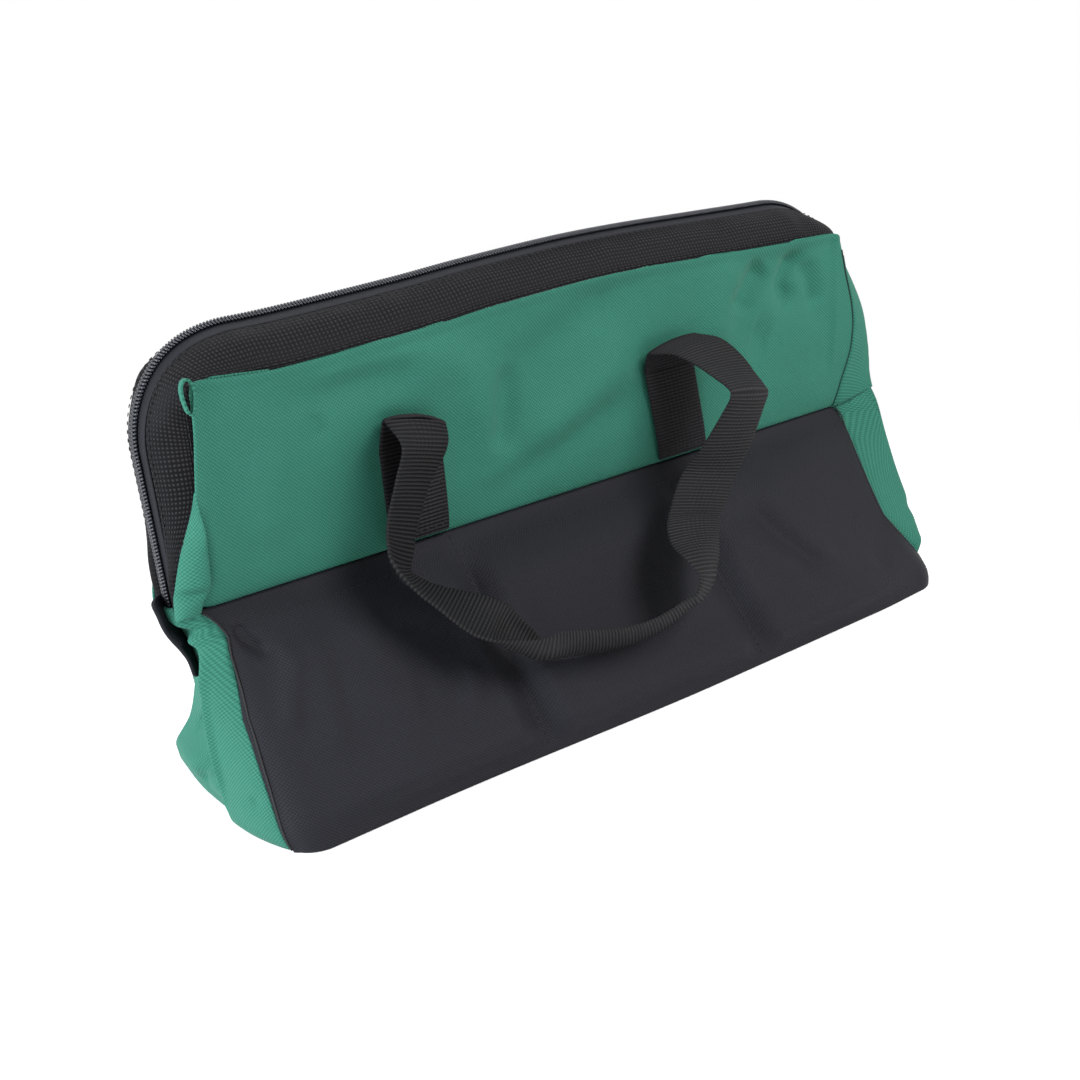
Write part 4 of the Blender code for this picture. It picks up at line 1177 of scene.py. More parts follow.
@dataclass
class LowerBody:
    """Walls, pocket and ends below the seam."""

    finishes: Finishes
    seam: float = 0.11
    half_length_foot: float = 0.2295
    half_length_seam: float = 0.235
    half_depth_foot: float = 0.087
    half_depth_seam: float = 0.0105
    pull_in: float = 0.005
    corner: float = 0.015
    corner_share: float = 0.75
    right_crest: Table = (
        (0.0, 0.008, 0.027, 0.042, 0.059, 0.089, 0.105, 0.114, 0.122),
        (0.24, 0.2425, 0.2455, 0.249, 0.2515, 0.2517, 0.253, 0.253, 0.25),
    )
    right_crest_depth: Table = (
        (0.0, 0.008, 0.027, 0.042, 0.059, 0.089, 0.105, 0.114, 0.122),
        (0.07, 0.068, 0.06, 0.052, 0.043, 0.032, 0.026, 0.022, 0.02),
    )
    right_foot: float = 0.0055
    crest_rise: float = 0.008
    tuck: float = 0.0128
    tuck_reach: float = 0.2358
    tuck_share: float = 0.14
    lobe_run: float = 0.025
    left_ridge_x: Table = (
        (0.0, 0.006, 0.023, 0.042, 0.074, 0.096, 0.106, 0.122),
        (0.235, 0.238, 0.2384, 0.2384, 0.2365, 0.2345, 0.24, 0.2408),
    )
    left_ridge_y: Table = (
        (0.0, 0.006, 0.023, 0.042, 0.074, 0.089, 0.106, 0.122),
        (-0.027, -0.027, -0.0246, -0.0236, -0.0215, -0.0165, -0.008, -0.006),
    )
    left_shoulder: Table = (
        (0.0, 0.01, 0.0206, 0.03, 0.036, 0.043, 0.064, 0.092, 0.1, 0.106, 0.122),
        (0.62, 0.66, 1.0, 0.46, 0.16, 0.04, 0.0, 0.0, 0.2, 0.85, 1.0),
    )
    rear_lean: float = 0.7
    roll: float = 0.016
    roll_depth: float = 0.0045
    sag: float = 0.007
    foot: float = 0.0006
    cloth: float = 0.0013
    pocket_ease: float = 0.009
    pocket_stand: float = 0.0022
    hem_stand: float = 0.0007
    pocket_hem: float = 0.1098
    stitch_left: float = -0.081
    stitch_right: float = 0.072
    pucker: float = 0.0006
    rise: float = 0.016
    flat: Tuple[float, float] = (0.46, 0.134)
    wall_slope: float = 1.22
    bottom_gap: float = 0.0012
    bottom_drop: float = 0.0004
    hollow: float = 0.0025
    broad_relief: float = 0.0012
    left_seam: Table = (
        (0.0, 0.02, 0.038, 0.06, 0.073, 0.088, 0.097, 0.103, 0.11),
        (0.02, 0.018, 0.016, 0.013, 0.009, 0.005, 0.001, 0.002, 0.005),
    )
    right_seam: Table = (
        (0.0, 0.014, 0.029, 0.045, 0.051, 0.067, 0.088, 0.104, 0.11),
        (0.021, 0.019, 0.012, 0.005, 0.006, 0.008, 0.01, 0.0085, 0.003),
    )
    pocket_folds: Tuple[Fold, ...] = (
        Fold(((-0.214, 0.1003), (-0.2082, 0.0897), (-0.2018, 0.0861)), 0.0036, -0.0044),
        Fold(((-0.2, 0.089), (-0.196, 0.0805), (-0.204, 0.0647), (-0.209, 0.05)), 0.006, 0.0036),
        Fold(((-0.184, 0.097), (-0.188, 0.065), (-0.192, 0.031)), 0.011, 0.0034),
        Fold(((-0.179, 0.061), (-0.136, 0.048)), 0.013, 0.0028),
        Fold(((-0.15, 0.09), (-0.12, 0.072), (-0.095, 0.056)), 0.01, -0.002),
        Fold(((-0.105, 0.056), (-0.112, 0.044), (-0.117, 0.035)), 0.006, 0.002),
        Fold(((-0.06, 0.095), (-0.05, 0.06), (-0.055, 0.03)), 0.01, -0.0018),
        Fold(((0.124, 0.09), (0.14, 0.06), (0.156, 0.033)), 0.0085, 0.003),
        Fold(((0.086, 0.072), (0.105, 0.053), (0.128, 0.034)), 0.0085, 0.0032),
        Fold(((0.11, 0.08), (0.125, 0.055), (0.143, 0.03)), 0.0065, -0.0032),
        Fold(((0.226, 0.04), (0.205, 0.034), (0.18, 0.022)), 0.007, -0.0022),
    )
    left_folds: Tuple[Fold, ...] = (
        Fold(((-0.002, 0.0995), (-0.012, 0.101), (-0.026, 0.1035), (-0.036, 0.101)), 0.0026, -0.0036),
        Fold(((-0.004, 0.0955), (-0.012, 0.0968), (-0.024, 0.099), (-0.033, 0.0965)), 0.003, 0.0036),
        Fold(
            ((-0.012, 0.094), (-0.018, 0.087), (-0.0225, 0.072), (-0.024, 0.045), (-0.026, 0.012)),
            0.0022,
            0.003,
        ),
        Fold(
            ((-0.004, 0.093), (-0.0125, 0.087), (-0.0175, 0.072), (-0.019, 0.045), (-0.021, 0.02)),
            0.0024,
            -0.0042,
        ),
        Fold(((-0.02, 0.07), (0.0, 0.052), (0.02, 0.038)), 0.0028, -0.0052),
        Fold(((-0.014, 0.036), (0.0, 0.022), (0.011, 0.009)), 0.005, -0.0044),
        Fold(((-0.048, 0.02), (-0.056, 0.024), (-0.064, 0.028)), 0.0032, -0.002),
    )
    right_folds: Tuple[Fold, ...] = (
        Fold(((-0.062, 0.046), (-0.05, 0.042), (-0.03, 0.046)), 0.005, -0.002),
        Fold(((-0.016, 0.1), (-0.008, 0.097), (0.004, 0.1)), 0.0035, -0.0035),
    )

    def build(self) -> None:
        """Builds the walls, the pocket, the ends and the bottom."""
        for side in Side:
            self.wall(side)
        for end in End:
            self.end_wall(end)
        self.pocket()
        self.bottom()

    def level(self, height: Array, out: Array = 0.0) -> Tuple[Array, Array, Array, Array]:
        """Half length, half depth and the corner's two radii at that height."""
        share = np.clip(height / self.seam, 0, 1)
        length = mix(self.half_length_foot, self.half_length_seam, share)
        length = length - self.pull_in * np.sin(math.pi * share)
        depth = mix(self.half_depth_foot, self.half_depth_seam, share)
        curl = self.roll_depth * np.clip(1 - height / self.roll, 0, 1) ** 2
        length, depth = length - curl, depth - curl
        radius = np.minimum(self.corner, depth * self.corner_share)
        return length + out, depth + out, self.corner + out, radius + out

    def seam_run(self, height: Array, end: End) -> Array:
        """How far round the corner the seam between wall and end lies at that height."""
        heights, runs = self.left_seam if end is End.LEFT else self.right_seam
        return np.interp(height, heights, runs)

    def round_corner(self, run: Array, height: Array, end: Array, side: Array, out: Array = 0.0) -> Array:
        """Points of the body's outline at each height.

        Args:
            run: Distance round the outline from where the corner starts on the long wall.
            height: Heights.
            end: -1 for the left end, 1 for the right.
            side: -1 for the front, 1 for the rear.
            out: How far the points stand off the wall.

        Returns:
            The points.
        """
        length, depth, radius_x, radius_y = self.level(height, out)
        arc = math.pi / 4 * (radius_x + radius_y)
        turn = np.clip(run / arc, 0, 1) * math.pi / 2
        x = length - radius_x + radius_x * np.sin(turn) + np.minimum(run, 0)
        y = depth - radius_y + radius_y * np.cos(turn) - np.maximum(run - arc, 0)
        return self.slumped(xyz(end * x, side * y, height))

    def left_ridge(self, y: Array, z: Array) -> Array:
        """How far the left end stands out in its one upright ridge.

        Args:
            y: How far back each place lies.
            z: How high each place lies.

        Returns:
            The distance, which fades on both sides of the ridge.
        """
        ridge_y = tabled(self.left_ridge_y, z)
        length, depth, _, _ = self.level(z)
        rise = np.clip(tabled(self.left_ridge_x, z) - length, 0, None)
        start = 0.006 * np.clip(1 - z / self.seam, 0, 1) - depth
        near = np.clip((y - start) / np.maximum(ridge_y - start, 0.002), 0, 1)
        behind = mix(1.0, tabled(self.left_shoulder, z), 1 - np.exp(-np.clip(y - ridge_y, 0, None) / 0.005))
        profile = np.where(y < ridge_y, np.sin(math.pi / 2 * near) ** 0.85, behind)
        return rise * profile * (1 - ramp(y, 0.01, 0.075))

    def slumped(self, points: Array) -> Array:
        """Gives the upright shell the form of a soft bag that has been filled.

        Args:
            points: Points of the upright shell.

        Returns:
            The points with the left end's ridge, its lean towards the rear, and the front's sag.
        """
        x, y, z = points.T
        left = x < 0
        x = np.where(left, x - self.left_ridge(y, z) * ramp(-x, 0.185, 0.03), x)
        lean = self.rear_lean * np.clip(y - np.maximum(0.065 - 0.82 * z, 0.012), 0, None)
        x = np.where(left, x * (1 - lean / 0.229), x)
        x = x + self.right_foot * ramp(x, 0.18, 0.045) * (1 - ramp(z, 0, 0.045)) * ramp(-y, -0.02, 0.05)
        sag = self.sag * (1 - ramp(z, 0, 0.055)) * ramp(-y, 0, 0.05)
        return xyz(x, y - sag * ramp(x, -0.16, 0.2) * (1 - 0.4 * ramp(x, 0.17, 0.06)), z)

    def long_wall(self, across: Array, height: Array, side: Side, out: Array) -> Array:
        """Points of the front or rear wall, across from -1 to 1 between its corner seams."""
        length, _, radius_x, _ = self.level(height)
        seam = np.where(across < 0, self.seam_run(height, End.LEFT), self.seam_run(height, End.RIGHT))
        run = mix(radius_x - length, seam, np.abs(across))
        return self.round_corner(run, height, np.where(across < 0, -1.0, 1.0), float(side.value), out)

    def wall(self, side: Side) -> None:
        """The charcoal wall of one side."""
        broad = Unevenness(31 + side.value, (0.07, 0.04))

        def place(u: Array, v: Array) -> Array:
            """Left to right by u, foot to seam by v."""
            height = mix(self.foot, self.seam, v)
            inside = ramp(1 - np.abs(u * 2 - 1), 0, 1 / 6) * ramp(v, 0, 1 / 5) * ramp(1 - v, 0, 1 / 5)
            hollow = self.hollow * np.sin(math.pi * v)
            relief = broad.at(u * self.flat[0], height) * self.broad_relief - hollow
            return self.long_wall(u * 2 - 1, height, side, relief * inside)

        name = f"{side.word}_grey_wall"
        piece = grid_piece(name, 240, 80, place, self.flat, (0, side.value, 0.5), self.cloth)
        lay_pattern(piece, 0, self.wall_slope)
        dress(piece, self.finishes.grey, "grey_cloth", "bag", f"{side.word}_lower_panel")

    def end_wall(self, end: End) -> None:
        """The green wall of one end."""
        right = end is End.RIGHT
        broad = Unevenness(41 + end.value, (0.035, 0.03))
        folds = self.right_folds if right else self.left_folds

        def place(u: Array, v: Array) -> Array:
            """Front to rear by u, foot to seam by v."""
            across = np.abs(u * 2 - 1)
            share = np.clip((1 - across) / (1 - self.tuck_share), 0, 1)
            rise = self.crest_rise * 4 * share * (1 - share) if right else 0.0
            height = mix(self.foot, self.seam + 0.004 + rise, v)
            _, depth, radius_x, radius_y = self.level(height)
            middle = math.pi / 4 * (radius_x + radius_y) + depth - radius_y
            run = mix(middle, self.seam_run(height, end), across)
            side = np.where(u * 2 - 1 < 0, -1.0, 1.0)
            points = self.round_corner(run, height, end.value, side)
            if right:
                points = self.lobed(points, across, side)
            relief = folded(folds, points[:, 1], height) + broad.at(points[:, 1], height) * self.broad_relief
            points[:, 0] += end.value * relief * ramp(1 - across, 0, 1 / 5) * ramp(v, 0, 1 / 6)
            return points

        name = f"{end.word}_green_end"
        piece = grid_piece(name, 150, 110, place, (0.15, 0.114), (end.value, 0, 0), self.cloth)
        lay_pattern(piece, 1, 1.03, 1.0 if right else 0.0, self.tuck_reach)
        dress(piece, self.finishes.green, "green_cloth", "bag", f"{end.word}_lower_gusset")

    def lobed(self, points: Array, across: Array, side: Array) -> Array:
        """Pushes the right end out in a fold on either side of the zip's end.

        Args:
            points: Points of the plain end wall.
            across: 0 in the middle of the end, 1 at its corner seams.
            side: -1 for the front, 1 for the rear.

        Returns:
            The points, in the folds.
        """
        height = points[:, 2]
        seam = self.round_corner(self.seam_run(height, End.RIGHT), height, 1.0, side)
        foot = xyz(self.tuck_reach, side * self.tuck, height)
        crest = xyz(tabled(self.right_crest, height), side * tabled(self.right_crest_depth, height), height)
        share = np.clip((1 - across) / (1 - self.tuck_share), 0, 1)
        fold = arched(seam, crest, foot, share)
        level = np.clip(1 - across / self.tuck_share, 0, 1)[:, None]
        flat = mix(foot, foot * (1.0, 0.0, 1.0), level)
        fold = np.where((across < self.tuck_share)[:, None], flat, fold)
        return mix(points, fold, ramp(height, 0, self.lobe_run)[:, None])

    def pocket_place(self, across: Array, height: Array, out: Array = 0.0) -> Array:
        """Points of the pocket's face, slack between its stitched lines and tight on them."""
        lean = math.hypot(1.0, (self.half_depth_foot - self.half_depth_seam) / self.seam)
        broad = Unevenness(53, (0.05, 0.04))
        stand = mix(self.pocket_stand, self.hem_stand, ramp(height, 0.094, 0.014))
        point = self.long_wall(across, height, Side.FRONT, stand + out)
        seams = np.array([self.stitch_left, self.stitch_right])
        reach = np.abs(point[:, :1] - seams).min(1)
        from_end = (1 - np.abs(across)) * self.half_length_foot
        slack = ramp(reach, self.pucker, self.rise) ** 0.7 * ramp(from_end, 0, 0.075)
        low = ramp(height, 0.003, self.rise) * mix(1.0, 0.06, ramp(height, 0.08, 0.028))
        reach = np.minimum(reach, from_end)
        relief = folded(self.pocket_folds, point[:, 0], height) + broad.at(point[:, 0], height) * 0.001
        held = ramp(reach, 0, 0.006) * ramp(height, 0, 0.01) * ramp(self.seam - height, 0, 0.01)
        point[:, 1] -= self.pocket_ease * 0.8 * lean * slack * low + relief * held
        return point

    def pocket(self) -> None:
        """The slack outer sheet stitched down along its ends and two dividers."""

        def place(u: Array, v: Array) -> Array:
            """Left to right by u, foot to hem by v."""
            return self.pocket_place(u * 2 - 1, mix(self.foot - 0.0002, self.pocket_hem, v))

        name = "front_pocket_sheet"
        piece = grid_piece(name, 460, 100, place, self.flat, (0, -1, 0.5), self.cloth)
        lay_pattern(piece, 0, self.wall_slope)
        dress(piece, self.finishes.grey, "grey_cloth", "bag", "front_pocket")

    def bottom(self) -> None:
        """The charcoal cloth under the bag, inside the foot of its walls."""

        def place(u: Array, v: Array) -> Array:
            """Left to right by u, front to rear by v."""
            length, depth, radius, _ = self.level(np.full_like(u, self.foot), -self.bottom_gap)
            y = (v * 2 - 1) * depth
            over = np.clip(np.abs(y) - (depth - radius), 0, radius)
            x = (u * 2 - 1) * (length - radius + np.sqrt(radius**2 - over**2))
            return self.slumped(xyz(x, y, self.foot - self.bottom_drop))

        piece = grid_piece("bottom_cloth", 80, 40, place, (0.46, 0.18), (0, 0, -1), 0.001)
        dress(piece, self.finishes.grey, "grey_cloth", "bag", "base_panel")


# Handles


@dataclass
class Handles:
    """Both webbing handles: sewn ends and slack grips."""

    upper: UpperBody
    finishes: Finishes
    width: float = 0.038
    thickness: float = 0.0018
    rib: float = 0.0021
    rib_height: float = 0.00013
    least_cup: float = 0.02
    left_x: float = -0.1005
    right_x: float = 0.089
    left_fold: Tuple[float, ...] = (-0.1015, 0.1785, 1.0, 0.0, -0.27, -0.4)
    right_fold: Tuple[float, ...] = (0.0763, 0.1832, 1.0, 0.0, 0.12, 0.22)
    fold_height: float = 0.1768
    fold_depth: float = 0.0291
    foot: float = 0.1105
    route: Table = (
        (-0.102, -0.037, 0.1665, 0.9, 0.35, -0.3, 0.12),
        (-0.111, -0.036, 0.15, 0.8, 0.5, -0.3, 0.12),
        (-0.121, -0.037, 0.131, 0.75, 0.55, -0.35, 0.15),
        (-0.1275, -0.041, 0.1155, 0.65, 0.6, -0.45, 0.25),
        (-0.1285, -0.044, 0.1095, 0.6, 0.7, -0.4, 0.3),
        (-0.1265, -0.048, 0.1045, 0.6, 0.75, -0.3, 0.25),
        (-0.1225, -0.053, 0.099, 0.6, 0.75, -0.2, 0.2),
        (-0.1165, -0.059, 0.0935, 0.65, 0.75, -0.1, 0.2),
        (-0.1095, -0.066, 0.0875, 0.7, 0.7, 0.05, 0.25),
        (-0.103, -0.0715, 0.0825, 0.75, 0.65, 0.15, 0.35),
        (-0.097, -0.077, 0.0785, 0.75, 0.65, 0.15, 0.6),
        (-0.09, -0.08, 0.0735, 0.68, 0.7, 0.05, 1.1),
        (-0.082, -0.0825, 0.068, 0.58, 0.75, -0.15, 1.35),
        (-0.0745, -0.0835, 0.0625, 0.42, 0.75, -0.4, 1.2),
        (-0.067, -0.0835, 0.058, 0.3, 0.7, -0.65, 0.7),
        (-0.055, -0.085, 0.0545, 0.35, 0.65, -0.65, 0.35),
        (-0.0275, -0.088, 0.049, 0.45, 0.65, -0.6, 0.2),
        (-0.0035, -0.0905, 0.0495, 0.55, 0.65, -0.55, 0.2),
        (0.0165, -0.093, 0.056, 0.6, 0.65, -0.45, 0.25),
        (0.023, -0.0945, 0.059, 0.6, 0.65, -0.4, 0.3),
        (0.029, -0.094, 0.065, 0.7, 0.6, -0.4, 0.4),
        (0.032, -0.092, 0.07, 0.8, 0.5, -0.35, 0.45),
        (0.0345, -0.0865, 0.0765, 0.9, 0.25, -0.3, 0.4),
        (0.0385, -0.078, 0.082, 1.0, 0.05, -0.2, 0.3),
        (0.0455, -0.0695, 0.088, 1.0, -0.1, -0.2, 0.2),
        (0.0545, -0.062, 0.093, 0.95, -0.1, -0.25, 0.15),
        (0.0705, -0.057, 0.109, 0.95, -0.15, -0.25, 0.12),
        (0.0815, -0.063, 0.1265, 1.0, 0.0, -0.2, 0.12),
        (0.0915, -0.069, 0.1465, 0.95, 0.2, -0.25, 0.15),
        (0.0945, -0.0705, 0.154, 0.95, 0.2, -0.2, 0.2),
        (0.095, -0.068, 0.1575, 0.95, 0.2, -0.2, 0.25),
        (0.0945, -0.06, 0.1635, 0.95, 0.15, -0.15, 0.15),
        (0.0925, -0.049, 0.1722, 1.0, 0.06, -0.05, 0.12),
        (0.0865, -0.0385, 0.1802, 1.0, 0.0, 0.05, 0.18),
    )

    def build(self) -> None:
        """Builds both handles."""
        for side in Side:
            self.grip(side)
            for x in (self.left_x, self.right_x):
                self.sewn_end(side, x)

    def turned(self, points: Array, side: Side) -> Array:
        """Turns points half round the upright middle line for the rear handle."""
        return points if side is Side.FRONT else points * (-1.0, -1.0, 1.0)

    def strap(self, name: str, run: Array, side: Side) -> bpy.types.Object:
        """A strap with ribs across it.

        Args:
            name: The piece's name.
            run: Rows of a point on its middle, the direction of its width and how far it cups.
            side: Which handle it belongs to.

        Returns:
            The strap.
        """
        centres, widths, cups = run[:, :3], unit(run[:, 3:6]), run[:, 6]
        cups = np.where(np.abs(cups) < self.least_cup, self.least_cup, cups)
        along = unit(np.gradient(centres, axis=0))
        rail = Rail(centres, widths, -unit(np.cross(along, widths)))
        travelled = distances(centres)
        ribs = self.rib_height * np.sin(2 * math.pi * travelled / self.rib)
        half = self.width / 2

        def section(row: Array, turn: Array) -> Tuple[Array, Array]:
            """Across the cupped strap and in from its face."""
            reach = np.sign(np.cos(turn)) * np.abs(np.cos(turn)) ** 0.6
            lift = np.clip(np.sin(turn) * 2.4, -1, 1) * (self.thickness / 2 + ribs[row])
            cup = cups[row]
            bend = cup * reach
            across = half * np.sin(bend) / cup - np.sin(bend) * lift
            return across, half * (np.cos(bend) - np.cos(cup)) / cup - np.cos(bend) * lift

        flat = (self.width * 2.1, float(travelled[-1]))
        return rail.swept(name, 24, section, flat, partial(self.turned, side=side))

    def grip(self, side: Side) -> None:
        """The slack loop of one handle."""
        folds = (self.left_fold, self.right_fold)
        ends = [(x, -self.fold_depth - self.thickness / 2, *rest) for x, *rest in folds]
        route = [ends[0], *self.route, ends[1]]
        piece = self.strap(f"{side.word}_grip", smooth_run(route, 1500), side)
        body = f"{side.word}_handle"
        dress(piece, self.finishes.webbing, "black_webbing", body, f"{body}_grip")
        f"{side.word}_handle_lift"
        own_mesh(piece)
        f"{side.word}_frame_open"
        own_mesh(piece)

    def leaning(self, x: float, heights: Array) -> Array:
        """Where the middle of a sewn end lies at each height, from its foot to its fold."""
        top_x, top_z = (self.left_fold if x < 0 else self.right_fold)[:2]
        return mix(x, top_x, (heights - self.foot) / (top_z - self.foot))

    def sewn_end(self, side: Side, x: float) -> None:
        """The end of a handle, from the seam up the panel and over at the fold.

        Args:
            side: Which side.
            x: Where its foot is sewn on the front; the rear one is turned half round.
        """
        top_x, top_z, *lie = self.left_fold if x < 0 else self.right_fold
        heights = np.linspace(self.foot + 0.003, top_z - 0.013, 24)
        across = self.leaning(x, heights)
        face = xyz(across, -self.upper.depth(np.abs(across) + self.width / 2, heights), heights)
        slope = np.gradient(face, axis=0)
        centres = face + unit(xyz(0.0, -slope[:, 2], slope[:, 1])) * 0.0016
        steps = ((0.0026, 0.0035), (0.001, 0.0004), (-0.0012, 0.0))
        bend = [(top_x, -self.fold_depth + out, top_z - down) for out, down in steps]
        route = np.vstack([centres, bend])
        share = np.clip((route[:, 2:] - heights[-4]) / (top_z - heights[-4]), 0, 1)
        flat = np.array([1.0, 0.0, 0.0, 0.02])
        folded_over = np.array([1.0, 0.0, lie[2], -abs(lie[3])])
        run = smooth_run(np.hstack([route, mix(flat, folded_over, share**2)]), 190)
        end = End.LEFT if (x < 0) == (side is Side.FRONT) else End.RIGHT
        piece = self.strap(f"{side.word}_{end.word}_sewn_end", run, side)
        body = f"{side.word}_frame"
        dress(piece, self.finishes.webbing, "black_webbing", body, f"{side.word}_handle_{end.word}_end")


# Stitching, dark seam cords (bindings and painted shade in the seam gaps) and tabs


@dataclass
class Trim:
    """Thread, the dark cords in the seams, which stand for bindings and for painted shade in the seam gaps,
    and the cloth tabs over the ends of the zip.
    """

    shape: MouthShape
    upper: UpperBody
    lower: LowerBody
    handles: Handles
    finishes: Finishes
    pitch: float = 0.0042
    stitch: float = 0.0026
    thread: float = 0.00032
    inset: float = 0.0022
    box_lift: float = 0.0027
    # Radius of the dark seam cords: seam bindings, and painted shade in the seam gaps.
    binding_and_shade_radius: float = 0.0005
    box: Tuple[float, ...] = (-0.0155, 0.0155, 0.1165, 0.142)
    tab_thickness: float = 0.0029
    left_tab: Table = (
        (-0.243, 0.0, 0.12),
        (-0.2412, 0.0, 0.113),
        (-0.2395, 0.0, 0.105),
        (-0.237, 0.0, 0.0985),
        (-0.233, 0.0, 0.091),
        (-0.2303, 0.0, 0.084),
        (-0.229, 0.0, 0.074),
    )
    right_tab: Table = (
        (0.2385, 0.0, 0.1085),
        (0.24, 0.0, 0.096),
        (0.24, 0.0, 0.084),
        (0.2385, 0.0, 0.062),
    )

    def build(self) -> None:
        """Builds the thread, the dark seam cords (bindings and painted shade) and the tabs."""
        self.pocket_thread()
        for side in Side:
            self.mouth_thread(side)
            self.sewn_end_thread(side)
            # Dark cords in the corner seams and at one panel edge each: bindings and painted shade in the
            # seam gaps.
            for end in End:
                self.corner_binding_and_shade(side, end)
            self.panel_binding_and_shade(side, End.RIGHT if side is Side.FRONT else End.LEFT)
        self.tab(End.LEFT, self.left_tab, (0.62, 0.78, 0.0), 0.0078)
        self.tab(End.RIGHT, self.right_tab, (0.0, 1.0, 0.0), 0.0105)

    def stitches(self, name: str, paths: Sequence[Array], body: str) -> None:
        """Short raised threads spaced out along paths.

        Args:
            name: The piece's name.
            paths: Lines of points that the thread follows.
            body: The body it rides on.
        """
        bm = bmesh.new()
        for path in paths:
            run = smooth_run(path, max(int(distances(path)[-1] / self.pitch), 2) * 2)
            for near, far in zip(run[:-1:2], run[1::2]):
                turn = Vector(far - near).to_track_quat("X", "Z").to_matrix().to_4x4()
                size = Matrix.Diagonal((self.stitch / 2, self.thread, self.thread, 1.0))
                place = Matrix.Translation(Vector((near + far) / 2)) @ turn @ size
                bmesh.ops.create_icosphere(bm, subdivisions=1, radius=1.0, matrix=place)
        dress(piece_from(name, bm), self.finishes.thread, "black_webbing", body)

    def pocket_thread(self) -> None:
        """The pocket's hem line and its two dividers."""
        lower = self.lower
        across = np.linspace(-0.985, 0.985, 400)
        paths = [self.on_pocket(across, lower.pocket_hem - 0.0098)]
        for x in (lower.stitch_left, lower.stitch_right):
            line = []
            for height in np.linspace(0.006, lower.pocket_hem - 0.002, 60):
                row = self.on_pocket(np.linspace(-0.9, 0.9, 1200), height)
                line.append(row[np.argmin(np.abs(row[:, 0] - x))])
            paths.append(np.array(line))
        self.stitches("pocket_thread", paths, "bag")

    def on_pocket(self, across: Array, height: float) -> Array:
        """Points just off the pocket's face, all at one height."""
        return self.lower.pocket_place(across, np.full_like(across, height), 0.0002)

    def mouth_thread(self, side: Side) -> None:
        """Two lines of thread along the sleeve, beside the zip tape and beside the panel."""
        stations = self.shape.stations().resampled(420, 0.01, 0.99 if side is Side.FRONT else 0.955)
        across, out = stations.sleeve_frame()
        paths = []
        for edge, step in ((stations.tape_edge, self.inset), (stations.sleeve_edge, -self.inset)):
            paths.append(self.shape.onto(edge + across * step + out * self.inset, side))
        self.stitches(f"{side.word}_mouth_thread", paths, f"{side.word}_frame")

    def sewn_end_thread(self, side: Side) -> None:
        """A stitched rectangle on each sewn handle end."""
        left, right, low, high = self.box
        corners = ((left, low), (right, low), (right, high), (left, high), (left, low))
        paths = []
        for x in (self.handles.left_x, self.handles.right_x):
            for near, far in zip(corners, corners[1:]):
                step, height = np.linspace(near, far, 12).T
                lean = self.handles.leaning(x, height)
                depth = self.upper.depth(np.abs(lean) + self.handles.width / 2, height)
                paths.append(self.handles.turned(xyz(step + lean, -depth - self.box_lift, height), side))
        self.stitches(f"{side.word}_handle_thread", paths, f"{side.word}_frame")

    def cord_line(self, name: str, path: Array, body: str) -> bpy.types.Object:
        """A thin round dark cord along a path, standing for a seam binding and painted shade in the seam's
        gap.
        """
        rail = Rail.along(smooth_run(path, 160), np.array([0.3, 1.0, 0.2]))
        piece = rail.swept(name, 8, ring(self.binding_and_shade_radius), (0.004, 0.15))
        dress(piece, self.finishes.thread, "black_webbing", body)
        return piece

    def corner_binding_and_shade(self, side: Side, end: End) -> None:
        """The dark line in the seam between a wall and an end: a binding, and painted shade in the seam's
        gap.
        """
        heights = np.linspace(0.002, self.lower.seam - 0.001, 60)
        run = self.lower.seam_run(heights, end)
        out = self.lower.pocket_stand if side is Side.FRONT else 0.0
        path = self.lower.round_corner(run + 0.0003, heights, end.value, side.value, out + 0.0001)
        self.cord_line(f"{side.word}_{end.word}_corner_binding", path, "bag")

    def panel_binding_and_shade(self, side: Side, end: End) -> None:
        """The dark line in the seam between a panel and its end strip: a binding, and painted shade in the
        seam's gap.
        """
        heights = np.linspace(0.111, 0.214, 60)
        x = self.upper.half_length(heights, end.value) * end.value
        path = xyz(x, side.value * (self.upper.depth(x, heights) + 0.0001), heights)
        piece = self.cord_line(f"{side.word}_{end.word}_panel_binding", path, "")
        self.upper.blended(piece, side, 0.0, 0.12)

    def tab(self, end: End, route: Sequence[Sequence[float]], lie: Sequence[float], half: float) -> None:
        """A folded cloth tab over one lower end of the zip.

        Args:
            end: Which end.
            route: The line of its middle, from its top.
            lie: The direction of its width.
            half: Half its width in metres.
        """
        run = smooth_run(route, 80)
        width = np.broadcast_to(unit(np.array(lie)), run.shape)
        rail = Rail(run, width, unit(np.cross(unit(np.gradient(run, axis=0)), width)))
        closing = np.sqrt(np.clip(1 - np.abs(np.linspace(-1, 1, len(run))) ** 24, 0.02, 1))

        def section(row: Array, turn: Array) -> Tuple[Array, Array]:
            """Across the tab and out from its face, with a groove beside each of its edges."""
            side = np.cos(turn)
            groove = 1 - 0.18 * np.exp(-(((np.abs(side) - 0.8) / 0.1) ** 2))
            lift = np.clip(np.sin(turn) * 1.8, -1, 1) * self.tab_thickness / 2 * groove
            return np.sign(side) * np.abs(side) ** 0.5 * half * closing[row], lift * closing[row]

        piece = rail.swept(f"{end.word}_cloth_tab", 28, section, (0.05, 0.05))
        dress(piece, self.finishes.tape, "black_webbing", "bag", f"{end.word}_zip_tab")


# Studio


